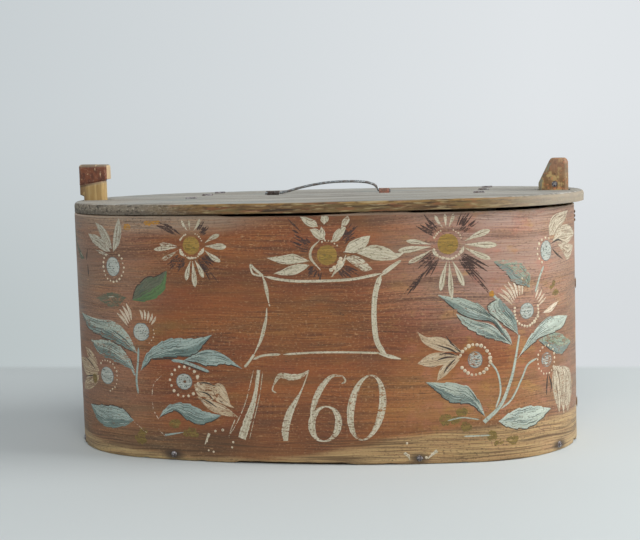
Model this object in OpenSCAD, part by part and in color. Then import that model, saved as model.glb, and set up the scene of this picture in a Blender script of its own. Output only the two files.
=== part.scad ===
// Oval bentwood box with a snap-on lid. Millimetres.
// The box stands on z = 0 with its long axis along X. The latch post is at -X, the fixed post at +X,
// and the painted front looks towards -Y. The bent board laps over itself at the back.

/* [Side band] */
// Length of the box, over the bent board
body_l = 402; // [320:1:480]
// Width of the box, over the bent board
body_w = 210; // [196:1:250]
// Radius of the two round ends
end_r = 92; // [70:1:96]
// Height of the band at its highest end
body_h = 187; // [150:1:230]
// How much lower the rim is at the fixed post's end
rim_drop = 2.5; // [0:0.1:4]
// Thickness of the bent board
band_t = 3.5; // [2.5:0.1:4.5]

/* [Back seam] */
// Length of board that laps over itself
lap_l = 74; // [50:1:100]
// Thickness of the outer, thinned end of the lap
lap_t = 2.4; // [1.5:0.1:3]
// Length over which the outer end is pared to a thin edge
lap_skive = 16; // [8:1:24]
// Number of root stitches in each of the two rows
seam_stitches = 11; // [6:1:14]
// Length of each stitch along the board
stitch_l = 8; // [6:0.5:10]
// Radius of the root
root_r = 1.1; // [0.8:0.1:1.4]
// Distance of the first and last stitch from the edges of the board
seam_margin = 14; // [10:1:30]

/* [Bottom] */
// Thickness of the bottom board
bottom_t = 9; // [7:0.5:14]
// Gap around the bottom board
bottom_gap = 0.15; // [0.1:0.05:0.4]

/* [Nails] */
// Radius of a nail's shank
nail_r = 1.2; // [0.8:0.1:1.5]
// Radius of a nail's head
nail_head_r = 2.5; // [2:0.1:3]
// Thickness of a nail's head
nail_head_t = 1.1; // [0.8:0.1:1.6]
// How deep the bottom nails go into the bottom board
bottom_nail_l = 14; // [10:1:20]
// Play of a driven nail, peg or root in its hole
driven_gap = 0.05; // [0.03:0.01:0.1]

/* [Lid] */
// How far the lid board reaches past the band all round, when centred
lid_reach = 3.5; // [3:0.5:8]
// Thickness of the lid board
lid_t = 8; // [6:0.5:12]
// How far the lid sits off centre, towards the fixed post
lid_shift = 4; // [0:0.1:5]
// Gap between the rim and the lid
lid_gap = 0.3; // [0.3:0.1:1]
// Play round a post in its slot in the lid
slot_gap = 1.2; // [0.9:0.1:2]

/* [Battens] */
// Width of a batten under the lid
batten_w = 26; // [18:1:34]
// Thickness of a batten
batten_t = 8; // [5:0.5:12]
// Distance from a batten's ends to the band
batten_clear = 8; // [4:1:16]
// Distance of the first batten from the box's end at the latch post
batten_latch_in = 98; // [60:1:130]
// Distance of the second batten from the box's end at the fixed post
batten_fixed_in = 75; // [60:1:130]
// Spacing of the first two nails in each batten
batten_nail_gap = 50; // [40:1:70]
// Distance of each batten's third nail behind the long axis
batten_nail_far = 66; // [50:1:72]
// Length of the bent-over point of a batten nail
clinch_l = 8; // [4:0.5:8]
// Radius of a batten nail
batten_nail_r = 1; // [0.8:0.1:1.2]

/* [Latch post] */
// Thickness of the springy shaft, along the box
latch_w = 17.4; // [14:0.1:20]
// Depth of the latch post, front to back
latch_d = 12; // [9:0.5:14]
// Height of the latch post above the lid
latch_h = 29.3; // [24:0.1:36]
// Height of the head
head_h = 16.2; // [12:0.1:18]
// How far the head hooks in over the lid
head_reach = 3.7; // [2:0.1:5]
// Rise of the head's slanting underside
head_slant = 3.6; // [0:0.1:5]
// How far the lip reaches out over the lid's end
lip_reach = 3.3; // [2:0.1:3.6]
// Height of the lip above the lid
lip_h = 4.4; // [3:0.1:6]
// Travel of the lip from just clear of the lid to snapped over it
snap_travel = 1.8; // [1:0.1:2.2]
// Travel of the lip when the head is pressed in
press_travel = 5; // [3:0.1:5.5]
// Height at which the latch post bends
bend_z = 33; // [26:1:50]
// Place of the latch post, in front of the long axis
latch_y = 6; // [0:1:8]

/* [Fixed post] */
// Thickness of the fixed post at the lid, along the box
fixed_w = 23; // [18:0.1:26]
// Thickness of the fixed post at its foot
fixed_foot_w = 17; // [14:0.1:23]
// Thickness at its top
fixed_top_w = 12.9; // [8:0.1:16]
// Depth of the fixed post, front to back
fixed_d = 14; // [10:0.5:18]
// Height of the fixed post above the lid
fixed_h = 24.8; // [20:0.1:32]
// Height of the slanting inner face
slant_h = 19.2; // [14:0.1:20]
// Place of the fixed post, behind the long axis
fixed_y = 4; // [0:1:8]
// Height of the cross nail above the lid
cross_nail_h = 4.6; // [3.5:0.1:8]
// How far the cross nail's ends stand proud of the post
cross_nail_proud = 0.6; // [0.3:0.1:0.6]

/* [Pegs] */
// Radius of a wooden peg
peg_r = 3; // [2:0.1:3.5]
// Radius of a peg's domed head
peg_head_r = 4.2; // [3.6:0.1:5]
// Spacing of the two pegs of the latch post
latch_peg_pitch = 22; // [18:1:26]
// Height of the lower peg of the fixed post
fixed_peg_low = 28; // [22:1:60]
// Height of the upper peg of the fixed post
fixed_peg_high = 122; // [80:1:135]
// Play of a latch peg in the band, which lets the post bend
latch_peg_gap = 0.7; // [0.6:0.1:1.2]

/* [Wire handle] */
// Radius of the handle's wire
wire_r = 1.05; // [0.8:0.05:1.4]
// Distance between the two clips, along the lid
handle_span = 82; // [60:1:110]
// Place of the handle's middle, towards the fixed post
handle_x = 6; // [-10:1:14]
// Place of the handle, behind the long axis
handle_y = 12; // [0:1:30]
// Rise of the bow above the clips
bow_rise = 8.4; // [6:0.1:14]
// Height of the handle's pivot above the lid
pivot_h = 1.5; // [1.5:0.1:2.5]
// Play of the wire in its clips
wire_gap = 0.08; // [0.05:0.01:0.1]
// Thickness of the iron strap of a clip
strap_t = 1.1; // [0.8:0.1:1.4]
// Width of the clip towards the latch post
clip_latch_w = 11; // [7:0.5:12]
// Width of the clip towards the fixed post
clip_fixed_w = 8; // [7:0.5:12]
// Depth to which the clips' prongs are driven
prong_l = 5; // [3:0.5:5.5]

/* [Hidden] */
$fn = 96;
eps = 0.01;
far = 30;
// Straight steps in which each round end and each side of the outline is drawn
end_steps = 48;
side_steps = 24;

// The outline is an oval of four arcs: two round ends and two long, flat sides.
end_c = body_l / 2 - end_r;
side_r = (end_c * end_c + body_w * body_w / 4 - end_r * end_r) / (body_w - 2 * end_r);
side_c = side_r - body_w / 2;
meet = atan2(side_c, end_c);
half_side = side_r * (90 - meet) * PI / 180;

lid_z = body_h + lid_gap;
lid_top = lid_z + lid_t;

// Places on the outline, by the distance along it from the middle of the front.
function is_side(s) = abs(s) <= half_side;
function turn_at(s) = is_side(s) ? s / side_r * 180 / PI - 90
    : (s > 0 ? -meet + (s - half_side) / end_r * 180 / PI : 180 + meet + (s + half_side) / end_r * 180 / PI);
function point_at(s) = is_side(s)
    ? [side_r * cos(turn_at(s)), side_c + side_r * sin(turn_at(s))]
    : [sign(s) * end_c + end_r * cos(turn_at(s)), end_r * sin(turn_at(s))];

// Inner face of the band at a round end, at a distance y from the long axis.
function wall_x(y) = end_c + sqrt(pow(end_r - band_t, 2) - y * y);

// Inner face of the band at the front or back, at a distance x from the middle.
function wall_y(x) = x < end_c + (end_r - band_t) * cos(meet) ? sqrt(pow(side_r - band_t, 2) - x * x) - side_c
    : sqrt(pow(end_r - band_t, 2) - pow(x - end_c, 2));

// The latch post, measured from the middle of the box.
latch_wall = wall_x(latch_y + latch_d / 2);
latch_rest_gap = 0.35;
foot_ease = 1.4;
bend_ease = 0.6;
latch_out_x = latch_wall - latch_rest_gap - snap_travel;
latch_in_x = latch_out_x - latch_w;
lip_x = latch_out_x + lip_reach;
slot_latch_out = lip_x + lid_gap;
slot_latch_in = latch_in_x - press_travel - slot_gap;
latch_top = lid_top + latch_h;
latch_foot = bottom_t + 0.7;
latch_neck_out = 4;
latch_neck_in = 12;
latch_bevel = 1.5;
latch_arris = 1.4;
head_slope = 0.6;
lip_arris = 1;
head_root_rise = 0.82;
latch_peg_z = [bend_z - latch_peg_pitch / 2, bend_z + latch_peg_pitch / 2];

// The fixed post.
fixed_out_x = wall_x(fixed_y + fixed_d / 2) - driven_gap;
fixed_top = lid_top + fixed_h;
fixed_bevel = 2.7;
fixed_chamfer = [2.1, 2.7];
fixed_slant_foot = lid_z - batten_t * 2;
cross_nail_in = 10.5;
cross_nail_x = fixed_out_x - cross_nail_in;
cross_nail_head_r = nail_head_r * 0.9;
lacing_pitch = 3.2;
lacing_count = 3;
lacing_z = body_h - 9;
lacing_side = fixed_d / 2 - 4;
lacing_sunk = 1.5;
lacing_out = end_c + end_r - fixed_out_x + root_r - lacing_sunk;
lacing_in = -fixed_w - root_r;

// Peg heads stand a little off the band, by this much at the post that bends and at the one that doesn't.
latch_peg_off = 0.6;
fixed_peg_off = 0.1;
latch_peg_head_t = nail_head_t * 1.6;
fixed_peg_head_t = nail_head_t * 0.5;

// Bottom nails: distance along the outline from the middle of the front, and of the back.
front_nails = [-101, 88, 206, -212];
back_nails = [-95, 95, 206, -206];

// Thickness of the outer end of the lap where its paring starts, over lap_t, and at its thin edge
skive_start = 0.3;
skive_edge = 0.4;

clinch_turn = 25;
clinch_rise = batten_nail_r * 0.3;
bend_swell = 0.02;
prong_in = 1;
prong_w = 3;

batten_latch_x = body_l / 2 - batten_latch_in;
batten_fixed_x = body_l / 2 - batten_fixed_in;
pivot_z = lid_top + pivot_h;
bow_r = (handle_span * handle_span / 4 + bow_rise * bow_rise) / (2 * bow_rise);
bow_half = asin(handle_span / 2 / bow_r);
clip_r = wire_r + wire_gap;

// Points along an arc of the outline, without its last one, where the next arc starts.
function arc_points(centre, r, from, to, steps) =
    [for (i = [0 : steps - 1], a = from + (to - from) * i / steps) centre + r * [cos(a), sin(a)]];

// The outline, grown outwards. It is drawn in straight steps that turn alike for every growth.
module oval(grow = 0) {
    polygon(concat(
        arc_points([end_c, 0], end_r + grow, -meet, meet, end_steps),
        arc_points([0, -side_c], side_r + grow, meet, 180 - meet, side_steps),
        arc_points([-end_c, 0], end_r + grow, 180 - meet, 180 + meet, end_steps),
        arc_points([0, side_c], side_r + grow, 180 + meet, 360 - meet, side_steps)));
}

module on_outline(s, z, half = 0) {
    rotate([0, 0, half]) translate([point_at(s)[0], point_at(s)[1], z]) rotate([0, 0, turn_at(s)]) children();
}

// Local +X points outwards, through the board.
module outward_rod(r, from, to) {
    translate([from, 0, 0]) rotate([0, 90, 0]) cylinder(r = r, h = to - from);
}

// A nail head with a low dome, standing on x = 0 and pointing along +X.
module nail_head(r, t) {
    rotate([0, 90, 0]) union() {
        cylinder(r = r, h = t * 0.5);
        translate([0, 0, t * 0.5]) cylinder(r1 = r, r2 = r * 0.7, h = t * 0.5);
    }
}

module bottom_nail_places() {
    for (s = front_nails) on_outline(s, bottom_t / 2) children();
    for (s = back_nails) on_outline(s, bottom_t / 2, 180) children();
}

module seam_places() {
    step = (body_h - rim_drop - 2 * seam_margin) / (seam_stitches - 1);
    for (row = [-1, 1], i = [0 : seam_stitches - 1]) {
        s = row * (lap_l / 2 - stitch_l - lap_skive * (row + 1) / 2);
        on_outline(s, seam_margin + i * step, 180) children();
    }
}

module stitch_legs(r, out) {
    reach = root_r + out;
    for (s = [-1, 1])
        translate([0, s * (stitch_l / 2 - root_r), 0]) outward_rod(r, -band_t - reach, lap_t + reach);
}

module side_band() {
    color("#8a4a2c") difference() {
        union() {
            linear_extrude(body_h) difference() {
                oval();
                oval(-band_t);
            }
            lap();
        }
        rim_cut();
        bottom_nail_places() outward_rod(nail_r + driven_gap, -band_t - 1, 1);
        seam_places() stitch_legs(root_r + driven_gap, 1);
        latch_peg_places() outward_rod(peg_r + latch_peg_gap, -band_t * 2, far);
        fixed_peg_places() outward_rod(peg_r + driven_gap, -band_t * 2, far);
        fixed_lacing_places() outward_rod(root_r + driven_gap, -band_t * 2, far);
        fixed_lacing_grooves();
    }
}

// The outer end of the board, lapped over the inner one and pared down to its edge.
module lap() {
    a = lap_l / 2 / side_r * 180 / PI;
    b = (lap_l / 2 - lap_skive) / side_r * 180 / PI;
    linear_extrude(body_h) translate([0, -side_c]) intersection() {
        difference() {
            circle(r = side_r + lap_t);
            circle(r = side_r - band_t / 2);
        }
        polygon([[(side_r - band_t) * sin(-a), (side_r - band_t) * cos(a)],
                 [(side_r + lap_t * 2) * sin(-a), (side_r + lap_t * 2) * cos(a)],
                 [(side_r + lap_t + skive_start) * sin(b), (side_r + lap_t + skive_start) * cos(b)],
                 [(side_r + skive_edge) * sin(a), (side_r + skive_edge) * cos(a)],
                 [(side_r - band_t) * sin(a), (side_r - band_t) * cos(a)]]);
    }
}

// The rim falls away a little from the latch post to the fixed post.
module rim_cut() {
    translate([0, body_w, 0]) rotate([90, 0, 0]) linear_extrude(body_w * 2)
        polygon([[-body_l / 2, body_h],
                 [body_l / 2 + far, body_h - rim_drop * (1 + far / body_l)],
                 [body_l / 2 + far, body_h + far],
                 [-body_l / 2 - far, body_h + far],
                 [-body_l / 2 - far, body_h]]);
}

module seam_lacing() {
    color("#5b4630") seam_places() {
        stitch_legs(root_r, 0);
        for (x = [-band_t - root_r, lap_t + root_r])
            translate([x, 0, 0]) rotate([90, 0, 0]) cylinder(r = root_r, h = stitch_l, center = true);
    }
}

module bottom_board() {
    color("#b9935f") difference() {
        linear_extrude(bottom_t) oval(-band_t - bottom_gap);
        bottom_nail_places() outward_rod(nail_r + driven_gap, -band_t - bottom_nail_l - 1, 0);
    }
}

module bottom_nails() {
    color("#3a3230") bottom_nail_places() {
        outward_rod(nail_r, -band_t - bottom_nail_l, eps);
        nail_head(nail_head_r, nail_head_t);
    }
}

// Plan of a post: a rectangle with its four long edges pared off. x0 is nearer the middle of the box.
module post_plan(x0, x1, d, bevel) {
    polygon([[x0 + bevel, -d / 2], [x1 - bevel, -d / 2], [x1, -d / 2 + bevel], [x1, d / 2 - bevel],
             [x1 - bevel, d / 2], [x0 + bevel, d / 2], [x0, d / 2 - bevel], [x0, -d / 2 + bevel]]);
}

// Side view of a post, drawn in X and Z, given its thickness along Y.
module post_side(points, d) {
    translate([0, d, 0]) rotate([90, 0, 0]) linear_extrude(2 * d) polygon(points);
}

module latch_peg_places() {
    for (z = latch_peg_z) translate([-latch_wall, -latch_y, z]) rotate([0, 0, 180]) children();
}

module latch_post() {
    lip_z = lid_top + lip_h;
    head_z = latch_top - head_h;
    head_x = latch_in_x - head_reach;
    color("#a98552") translate([0, -latch_y, 0]) mirror([1, 0, 0]) difference() {
        post_side([[latch_wall - foot_ease, latch_foot], [latch_wall - bend_ease, bend_z],
                   [latch_out_x, lid_z - latch_neck_out], [latch_out_x, lip_z - lip_arris],
                   [latch_out_x + lip_arris, lip_z], [lip_x, lip_z], [lip_x, latch_top - latch_arris],
                   [lip_x - latch_arris, latch_top], [head_x + head_slope, latch_top - head_slope],
                   [head_x, latch_top - latch_arris], [head_x, head_z + head_slant],
                   [latch_in_x, head_z + head_slant * head_root_rise], [latch_in_x, lid_z - latch_neck_in],
                   [latch_wall - latch_w, bend_z], [latch_wall - latch_w, latch_foot]], latch_d);
        latch_edges(head_x);
        for (z = latch_peg_z)
            translate([latch_wall, 0, z]) outward_rod(peg_r + driven_gap, -latch_w - far, far);
    }
}

// Pares the four long edges of the latch post, all the way up.
module latch_edges(head_x) {
    translate([0, 0, latch_foot - 1]) linear_extrude(latch_top) difference() {
        translate([head_x - far, -latch_d * 1.5]) square([latch_w + 3 * far, latch_d * 3]);
        post_plan(head_x, lip_x, latch_d, latch_bevel);
    }
}

module latch_pegs() {
    out = end_c + end_r - latch_wall + latch_peg_off;
    color("#7a5a3a") latch_peg_places() {
        outward_rod(peg_r, -latch_w + 1, out + eps);
        translate([out, 0, 0]) nail_head(peg_head_r + latch_peg_gap, latch_peg_head_t);
    }
}

module fixed_peg_places() {
    for (z = [fixed_peg_low, fixed_peg_high]) translate([fixed_out_x, fixed_y, z]) children();
}

module fixed_lacing_places() {
    for (i = [0 : lacing_count - 1], s = [-1, 1])
        translate([fixed_out_x, fixed_y + s * lacing_side, lacing_z - i * lacing_pitch]) children();
}

// Grooves in the band's outer face, in which the lacing lies.
module fixed_lacing_grooves() {
    for (i = [0 : lacing_count - 1])
        translate([fixed_out_x + lacing_out, fixed_y, lacing_z - i * lacing_pitch]) rotate([90, 0, 0])
            cylinder(r = root_r + driven_gap, h = (lacing_side + root_r + driven_gap) * 2, center = true);
}

module fixed_post() {
    in_x = fixed_out_x - fixed_w;
    color("#9a6a42") translate([0, fixed_y, 0]) difference() {
        intersection() {
            post_side([[fixed_out_x, bottom_t + driven_gap], [fixed_out_x, fixed_top - fixed_chamfer[1]],
                       [fixed_out_x - fixed_chamfer[0], fixed_top], [fixed_out_x - fixed_top_w, fixed_top],
                       [in_x, fixed_top - slant_h], [in_x, fixed_slant_foot],
                       [fixed_out_x - fixed_foot_w, bottom_t + driven_gap]], fixed_d);
            linear_extrude(fixed_top) post_plan(in_x, fixed_out_x, fixed_d, fixed_bevel);
        }
        translate([cross_nail_x, 0, lid_top + cross_nail_h]) rotate([90, 0, 0])
            cylinder(r = nail_r + driven_gap, h = fixed_d * 2, center = true);
        for (z = [fixed_peg_low, fixed_peg_high])
            translate([fixed_out_x, 0, z]) outward_rod(peg_r + driven_gap, -fixed_foot_w - far, far);
        for (i = [0 : lacing_count - 1], s = [-1, 1])
            translate([fixed_out_x, s * lacing_side, lacing_z - i * lacing_pitch])
                outward_rod(root_r + driven_gap, -far * 2, far);
    }
}

module fixed_post_pegs() {
    out = end_c + end_r - fixed_out_x + fixed_peg_off;
    color("#7a5a3a") fixed_peg_places() {
        outward_rod(peg_r, -fixed_foot_w + 1, out + eps);
        translate([out, 0, 0]) nail_head(peg_head_r, fixed_peg_head_t);
    }
}

// Root laced through the band and the fixed post, just under the rim.
module fixed_post_lacing() {
    color("#4a3828") for (i = [0 : lacing_count - 1])
        translate([fixed_out_x, fixed_y, lacing_z - i * lacing_pitch]) {
            for (s = [-1, 1]) translate([0, s * lacing_side, 0]) outward_rod(root_r, lacing_in, lacing_out);
            for (x = [lacing_in, lacing_out]) translate([x, 0, 0]) rotate([90, 0, 0])
                cylinder(r = root_r, h = (lacing_side + root_r) * 2, center = true);
        }
}

module cross_nail() {
    color("#3a3230") translate([cross_nail_x, fixed_y, lid_top + cross_nail_h]) {
        rotate([90, 0, 0]) cylinder(r = nail_r, h = fixed_d + cross_nail_proud * 2, center = true);
        translate([0, -fixed_d / 2, 0]) rotate([90, 0, 0])
            cylinder(r = cross_nail_head_r, h = cross_nail_proud);
    }
}

module on_batten(x) {
    for (y = [-batten_nail_gap / 2, batten_nail_gap / 2, batten_nail_far])
        translate([x, y, 0]) children();
}

module lid_board() {
    color("#7d7565") difference() {
        translate([lid_shift, 0, lid_z]) linear_extrude(lid_t)
            oval(lid_reach);
        translate([-slot_latch_out, -latch_y - latch_d / 2 - slot_gap, lid_z - 1])
            cube([slot_latch_out - slot_latch_in, latch_d + 2 * slot_gap, lid_t + 2]);
        translate([fixed_out_x - fixed_w - slot_gap, fixed_y - fixed_d / 2 - slot_gap, lid_z - 1])
            cube([fixed_w + 2 * slot_gap, fixed_d + 2 * slot_gap, lid_t + 2]);
        for (x = [-batten_latch_x, batten_fixed_x])
            on_batten(x) {
                translate([0, 0, lid_z - 1]) cylinder(r = batten_nail_r + driven_gap, h = lid_t + 2);
                clinch(driven_gap);
            }
        for (side = [-1, 1])
            on_clip(side) clip_prongs(driven_gap);
    }
}

module batten(x) {
    half = wall_y(x + batten_w / 2) - batten_clear;
    color("#a58a5e") difference() {
        translate([0, 0, lid_z - batten_t]) linear_extrude(batten_t)
            translate([-batten_w / 2, -half]) square([batten_w, half * 2]);
        on_batten(0) translate([0, 0, lid_z - batten_t - 1])
            cylinder(r = batten_nail_r + driven_gap, h = batten_t + 2);
    }
}

// Nails driven up through a batten and the lid, with their points bent over on top.
module batten_nails() {
    color("#3a3230") on_batten(0) {
        translate([0, 0, lid_z - batten_t - nail_head_t]) cylinder(r = nail_head_r, h = nail_head_t);
        translate([0, 0, lid_z - batten_t - eps])
            cylinder(r = batten_nail_r, h = batten_t + lid_t + clinch_rise + eps);
        clinch(0);
    }
}

// A nail's point, bent over and beaten halfway into the lid.
module clinch(play) {
    translate([0, 0, lid_top + clinch_rise]) {
        sphere(r = batten_nail_r + play);
        rotate([0, 90, clinch_turn]) cylinder(r = batten_nail_r + play, h = clinch_l + play);
    }
}

module on_clip(side) {
    translate([handle_x + side * handle_span / 2, handle_y, pivot_z])
        mirror([side < 0 ? 1 : 0, 0, 0]) children();
}

function clip_w(side) = side < 0 ? clip_latch_w : clip_fixed_w;

// Section of a strap clip over the wire, swept along X from the handle's end outwards.
module clip_body(w) {
    rotate([90, 0, 90]) linear_extrude(w) difference() {
        union() {
            circle(r = clip_r + strap_t);
            translate([-clip_r - strap_t, -pivot_h]) square([2 * (clip_r + strap_t), pivot_h]);
        }
        circle(r = clip_r);
        translate([-clip_r, -pivot_h - 1]) square([2 * clip_r, pivot_h + 1]);
        translate([-far, -pivot_h - far]) square([2 * far, far]);
    }
}

module clip_prongs(play) {
    for (s = [-1, 1])
        translate([prong_in - play, s * (clip_r + strap_t / 2) - strap_t / 2 - play, -pivot_h - prong_l])
            cube([prong_w + 2 * play, strap_t + 2 * play, prong_l + eps]);
}

module clip_latch_end() {
    color("#5a3524") on_clip(-1) {
        clip_body(clip_w(-1));
        clip_prongs(0);
    }
}

module clip_fixed_end() {
    color("#5a3524") on_clip(1) {
        clip_body(clip_w(1));
        clip_prongs(0);
    }
}

// A bow of iron wire with a straight pin at each end, which turns in its clip.
module wire_handle() {
    color("#4b4a48") {
        translate([handle_x, handle_y, pivot_z + bow_rise - bow_r]) rotate([90, bow_half - 90, 0])
            rotate_extrude(angle = bow_half * 2) translate([bow_r, 0]) circle(r = wire_r);
        for (side = [-1, 1]) on_clip(side) {
            sphere(r = wire_r + bend_swell);
            outward_rod(wire_r, 0, clip_w(side) + 1);
        }
    }
}

side_band();
seam_lacing();
bottom_board();
bottom_nails();
latch_post();
latch_pegs();
fixed_post();
fixed_post_pegs();
fixed_post_lacing();
cross_nail();
lid_board();
translate([-batten_latch_x, 0, 0]) batten(batten_latch_x);  // batten_latch_end
translate([batten_fixed_x, 0, 0]) batten(batten_fixed_x);  // batten_fixed_end
translate([-batten_latch_x, 0, 0]) batten_nails();  // batten_nails_latch_end
translate([batten_fixed_x, 0, 0]) batten_nails();  // batten_nails_fixed_end
clip_latch_end();
clip_fixed_end();
wire_handle();
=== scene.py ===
import bpy
import bmesh
import math
import random
from mathutils import Matrix, Vector, noise


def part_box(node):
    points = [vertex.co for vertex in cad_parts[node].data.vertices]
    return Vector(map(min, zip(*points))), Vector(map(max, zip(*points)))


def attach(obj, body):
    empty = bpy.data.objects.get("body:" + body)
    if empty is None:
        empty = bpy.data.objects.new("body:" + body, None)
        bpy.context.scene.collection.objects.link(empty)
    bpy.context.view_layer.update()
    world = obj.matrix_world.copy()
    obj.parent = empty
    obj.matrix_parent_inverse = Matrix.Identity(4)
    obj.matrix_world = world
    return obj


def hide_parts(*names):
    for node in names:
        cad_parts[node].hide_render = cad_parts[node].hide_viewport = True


# An old oval bentwood box, painted with flowers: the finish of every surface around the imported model.
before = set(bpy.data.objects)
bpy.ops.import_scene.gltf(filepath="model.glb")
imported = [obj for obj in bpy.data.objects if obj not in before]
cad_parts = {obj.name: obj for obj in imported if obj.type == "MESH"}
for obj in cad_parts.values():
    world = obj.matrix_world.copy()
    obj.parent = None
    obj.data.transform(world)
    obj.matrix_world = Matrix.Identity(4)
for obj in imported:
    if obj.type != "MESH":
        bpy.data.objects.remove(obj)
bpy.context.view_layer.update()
mm = 0.001
scene = bpy.context.scene
scene.view_settings.view_transform = 'Standard'
print("frame loaded:", len(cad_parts), "nodes")


# Small helpers

def linear(hexText):
    # sRGB hex to the linear colour that the shaders take
    parts = [int(hexText[i:i + 2], 16) / 255 for i in (1, 3, 5)]
    return tuple(p / 12.92 if p <= 0.04045 else ((p + 0.055) / 1.055) ** 2.4 for p in parts) + (1.0,)


def addNode(tree, kind, inputs=(), out=0, **settings):
    # adds a node, links or sets its inputs, and gives back one output, or the node itself where out is None
    node = tree.nodes.new(kind)
    for key, value in settings.items():
        setattr(node, key, value)
    pairs = inputs.items() if isinstance(inputs, dict) else enumerate(inputs)
    for key, value in pairs:
        if isinstance(value, bpy.types.NodeSocket):
            tree.links.new(value, node.inputs[key])
        elif value is not None:
            node.inputs[key].default_value = value
    return node if out is None else node.outputs[out]


mathNode = 'ShaderNodeMath'
vectorNode = 'ShaderNodeVectorMath'
mixNode = 'ShaderNodeMix'
rangeNode = 'ShaderNodeMapRange'
noiseNode = 'ShaderNodeTexNoise'
eased = {"interpolation_type": 'SMOOTHSTEP'}
asColour = {"out": 2, "data_type": 'RGBA'}


def smooth(low, high, value):
    t = min(max((value - low) / (high - low), 0), 1)
    return t * t * (3 - 2 * t)


def meshObject(name, points, faces, edges=()):
    mesh = bpy.data.meshes.new(name)
    mesh.from_pydata(points, list(edges), faces)
    mesh.update()
    if faces:
        mesh.shade_smooth()
    piece = bpy.data.objects.new(name, mesh)
    scene.collection.objects.link(piece)
    return piece


def keepAtPoints(piece, name, kind, values):
    # one number, or one vector, kept at each point of the mesh
    attribute = piece.data.attributes.new(name, kind, 'POINT')
    key = "value" if kind == 'FLOAT' else "vector"
    flat = values if kind == 'FLOAT' else [part for value in values for part in value]
    attribute.data.foreach_set(key, flat)


def runTree(piece, tree, inputs):
    # hangs a node tree on the piece, with its inputs set by socket identifier
    modifier = piece.modifiers.new(tree.name, 'NODES')
    modifier.node_group = tree
    for item in tree.interface.items_tree:
        if item.item_type == 'SOCKET' and item.in_out == 'INPUT' and item.name in inputs:
            modifier[item.identifier] = inputs[item.name]


def makePlain(piece):
    # turns what the modifiers gave into a plain mesh and takes them away
    bpy.context.view_layer.update()
    graph = bpy.context.evaluated_depsgraph_get()
    mesh = bpy.data.meshes.new_from_object(piece.evaluated_get(graph), preserve_all_data_layers=True,
                                           depsgraph=graph)
    piece.modifiers.clear()
    piece.data = mesh
    return piece


def turnOutwards(piece, weld=0.0):
    # faces all point out of the solid
    work = bmesh.new()
    work.from_mesh(piece.data)
    if weld:
        bmesh.ops.remove_doubles(work, verts=work.verts, dist=weld)
    bmesh.ops.recalc_face_normals(work, faces=work.faces)
    work.to_mesh(piece.data)
    work.free()


def ringFaces(rings, count, closed, first=0):
    # quads between neighbouring rings of points
    faces = []
    for ring in range(rings if closed else rings - 1):
        here, there = first + ring * count, first + (ring + 1) % rings * count
        for i in range(count):
            j = (i + 1) % count
            faces.append((here + i, there + i, there + j, here + j))
    return faces


def finishPiece(piece, body, slot, *nodes):
    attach(piece, body)
    if nodes:
        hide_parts(*nodes)


# The oval outline, in metres, worked out from the band's box

lowBand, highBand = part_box("side_band")
lowLid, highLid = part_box("lid_board")
outline = {
    "length": highBand.x - lowBand.x,
    "halfWidth": -lowBand.y,
    "height": highBand.z,
    "endRadius": 92 * mm,
    "board": 3.5 * mm,
    "lapLength": 74 * mm,
    "lapBoard": 2.4 * mm,
    "lapSkive": 16 * mm,
    "rimDrop": 1.9 * mm,
    "wave": 0.3 * mm,       # how far the board's face wavers inwards
}
endRadius = outline["endRadius"]
endCentre = outline["length"] / 2 - endRadius
halfWidth = outline["halfWidth"]
sideRadius = (endCentre ** 2 + halfWidth ** 2 - endRadius ** 2) / (2 * (halfWidth - endRadius))
sideCentre = sideRadius - halfWidth
meetTurn = math.atan2(endCentre, sideCentre)      # turn of a side arc where it meets a round end
halfSide = sideRadius * meetTurn
halfRound = 2 * halfSide + endRadius * (math.pi - 2 * meetTurn)


def outlinePoint(s, out):
    # the point at a distance s along the outline from the front's middle, moved out from it
    sign = -1 if s < 0 else 1
    far = abs(s)
    near = min(far, 2 * halfSide + endRadius * (math.pi - 2 * meetTurn) - far)
    flip = 1 if far > halfRound / 2 else -1
    if near < halfSide:
        turn = near / sideRadius
        radius = sideRadius + out
        return sign * radius * math.sin(turn), flip * (radius * math.cos(turn) - sideCentre)
    turn = meetTurn + (near - halfSide) / endRadius
    radius = endRadius + out
    return sign * (endCentre + radius * math.sin(turn)), flip * radius * math.cos(turn)


def outlineDistance(x, y):
    # how far a point lies outside the oval
    x, y = abs(x), abs(y)
    if math.atan2(x, y + sideCentre) <= meetTurn:
        return math.hypot(x, y + sideCentre) - sideRadius
    return math.hypot(x - endCentre, y) - endRadius


# Node trees that make pieces

def newPieceTree(name, sockets):
    tree = bpy.data.node_groups.new(name, 'GeometryNodeTree')
    tree.interface.new_socket("Geometry", in_out='OUTPUT', socket_type='NodeSocketGeometry')
    for socket, kind in sockets:
        tree.interface.new_socket(socket, in_out='INPUT', socket_type='NodeSocket' + kind)
    return tree, tree.nodes.new('NodeGroupInput').outputs


def endPieceTree(tree, geometry, material):
    # every tree ends with real geometry and its material
    real = addNode(tree, 'GeometryNodeRealizeInstances', [geometry])
    dressed = addNode(tree, 'GeometryNodeSetMaterial', {"Geometry": real, "Material": material})
    tree.links.new(dressed, tree.nodes.new('NodeGroupOutput').inputs[0])
    return tree


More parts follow.
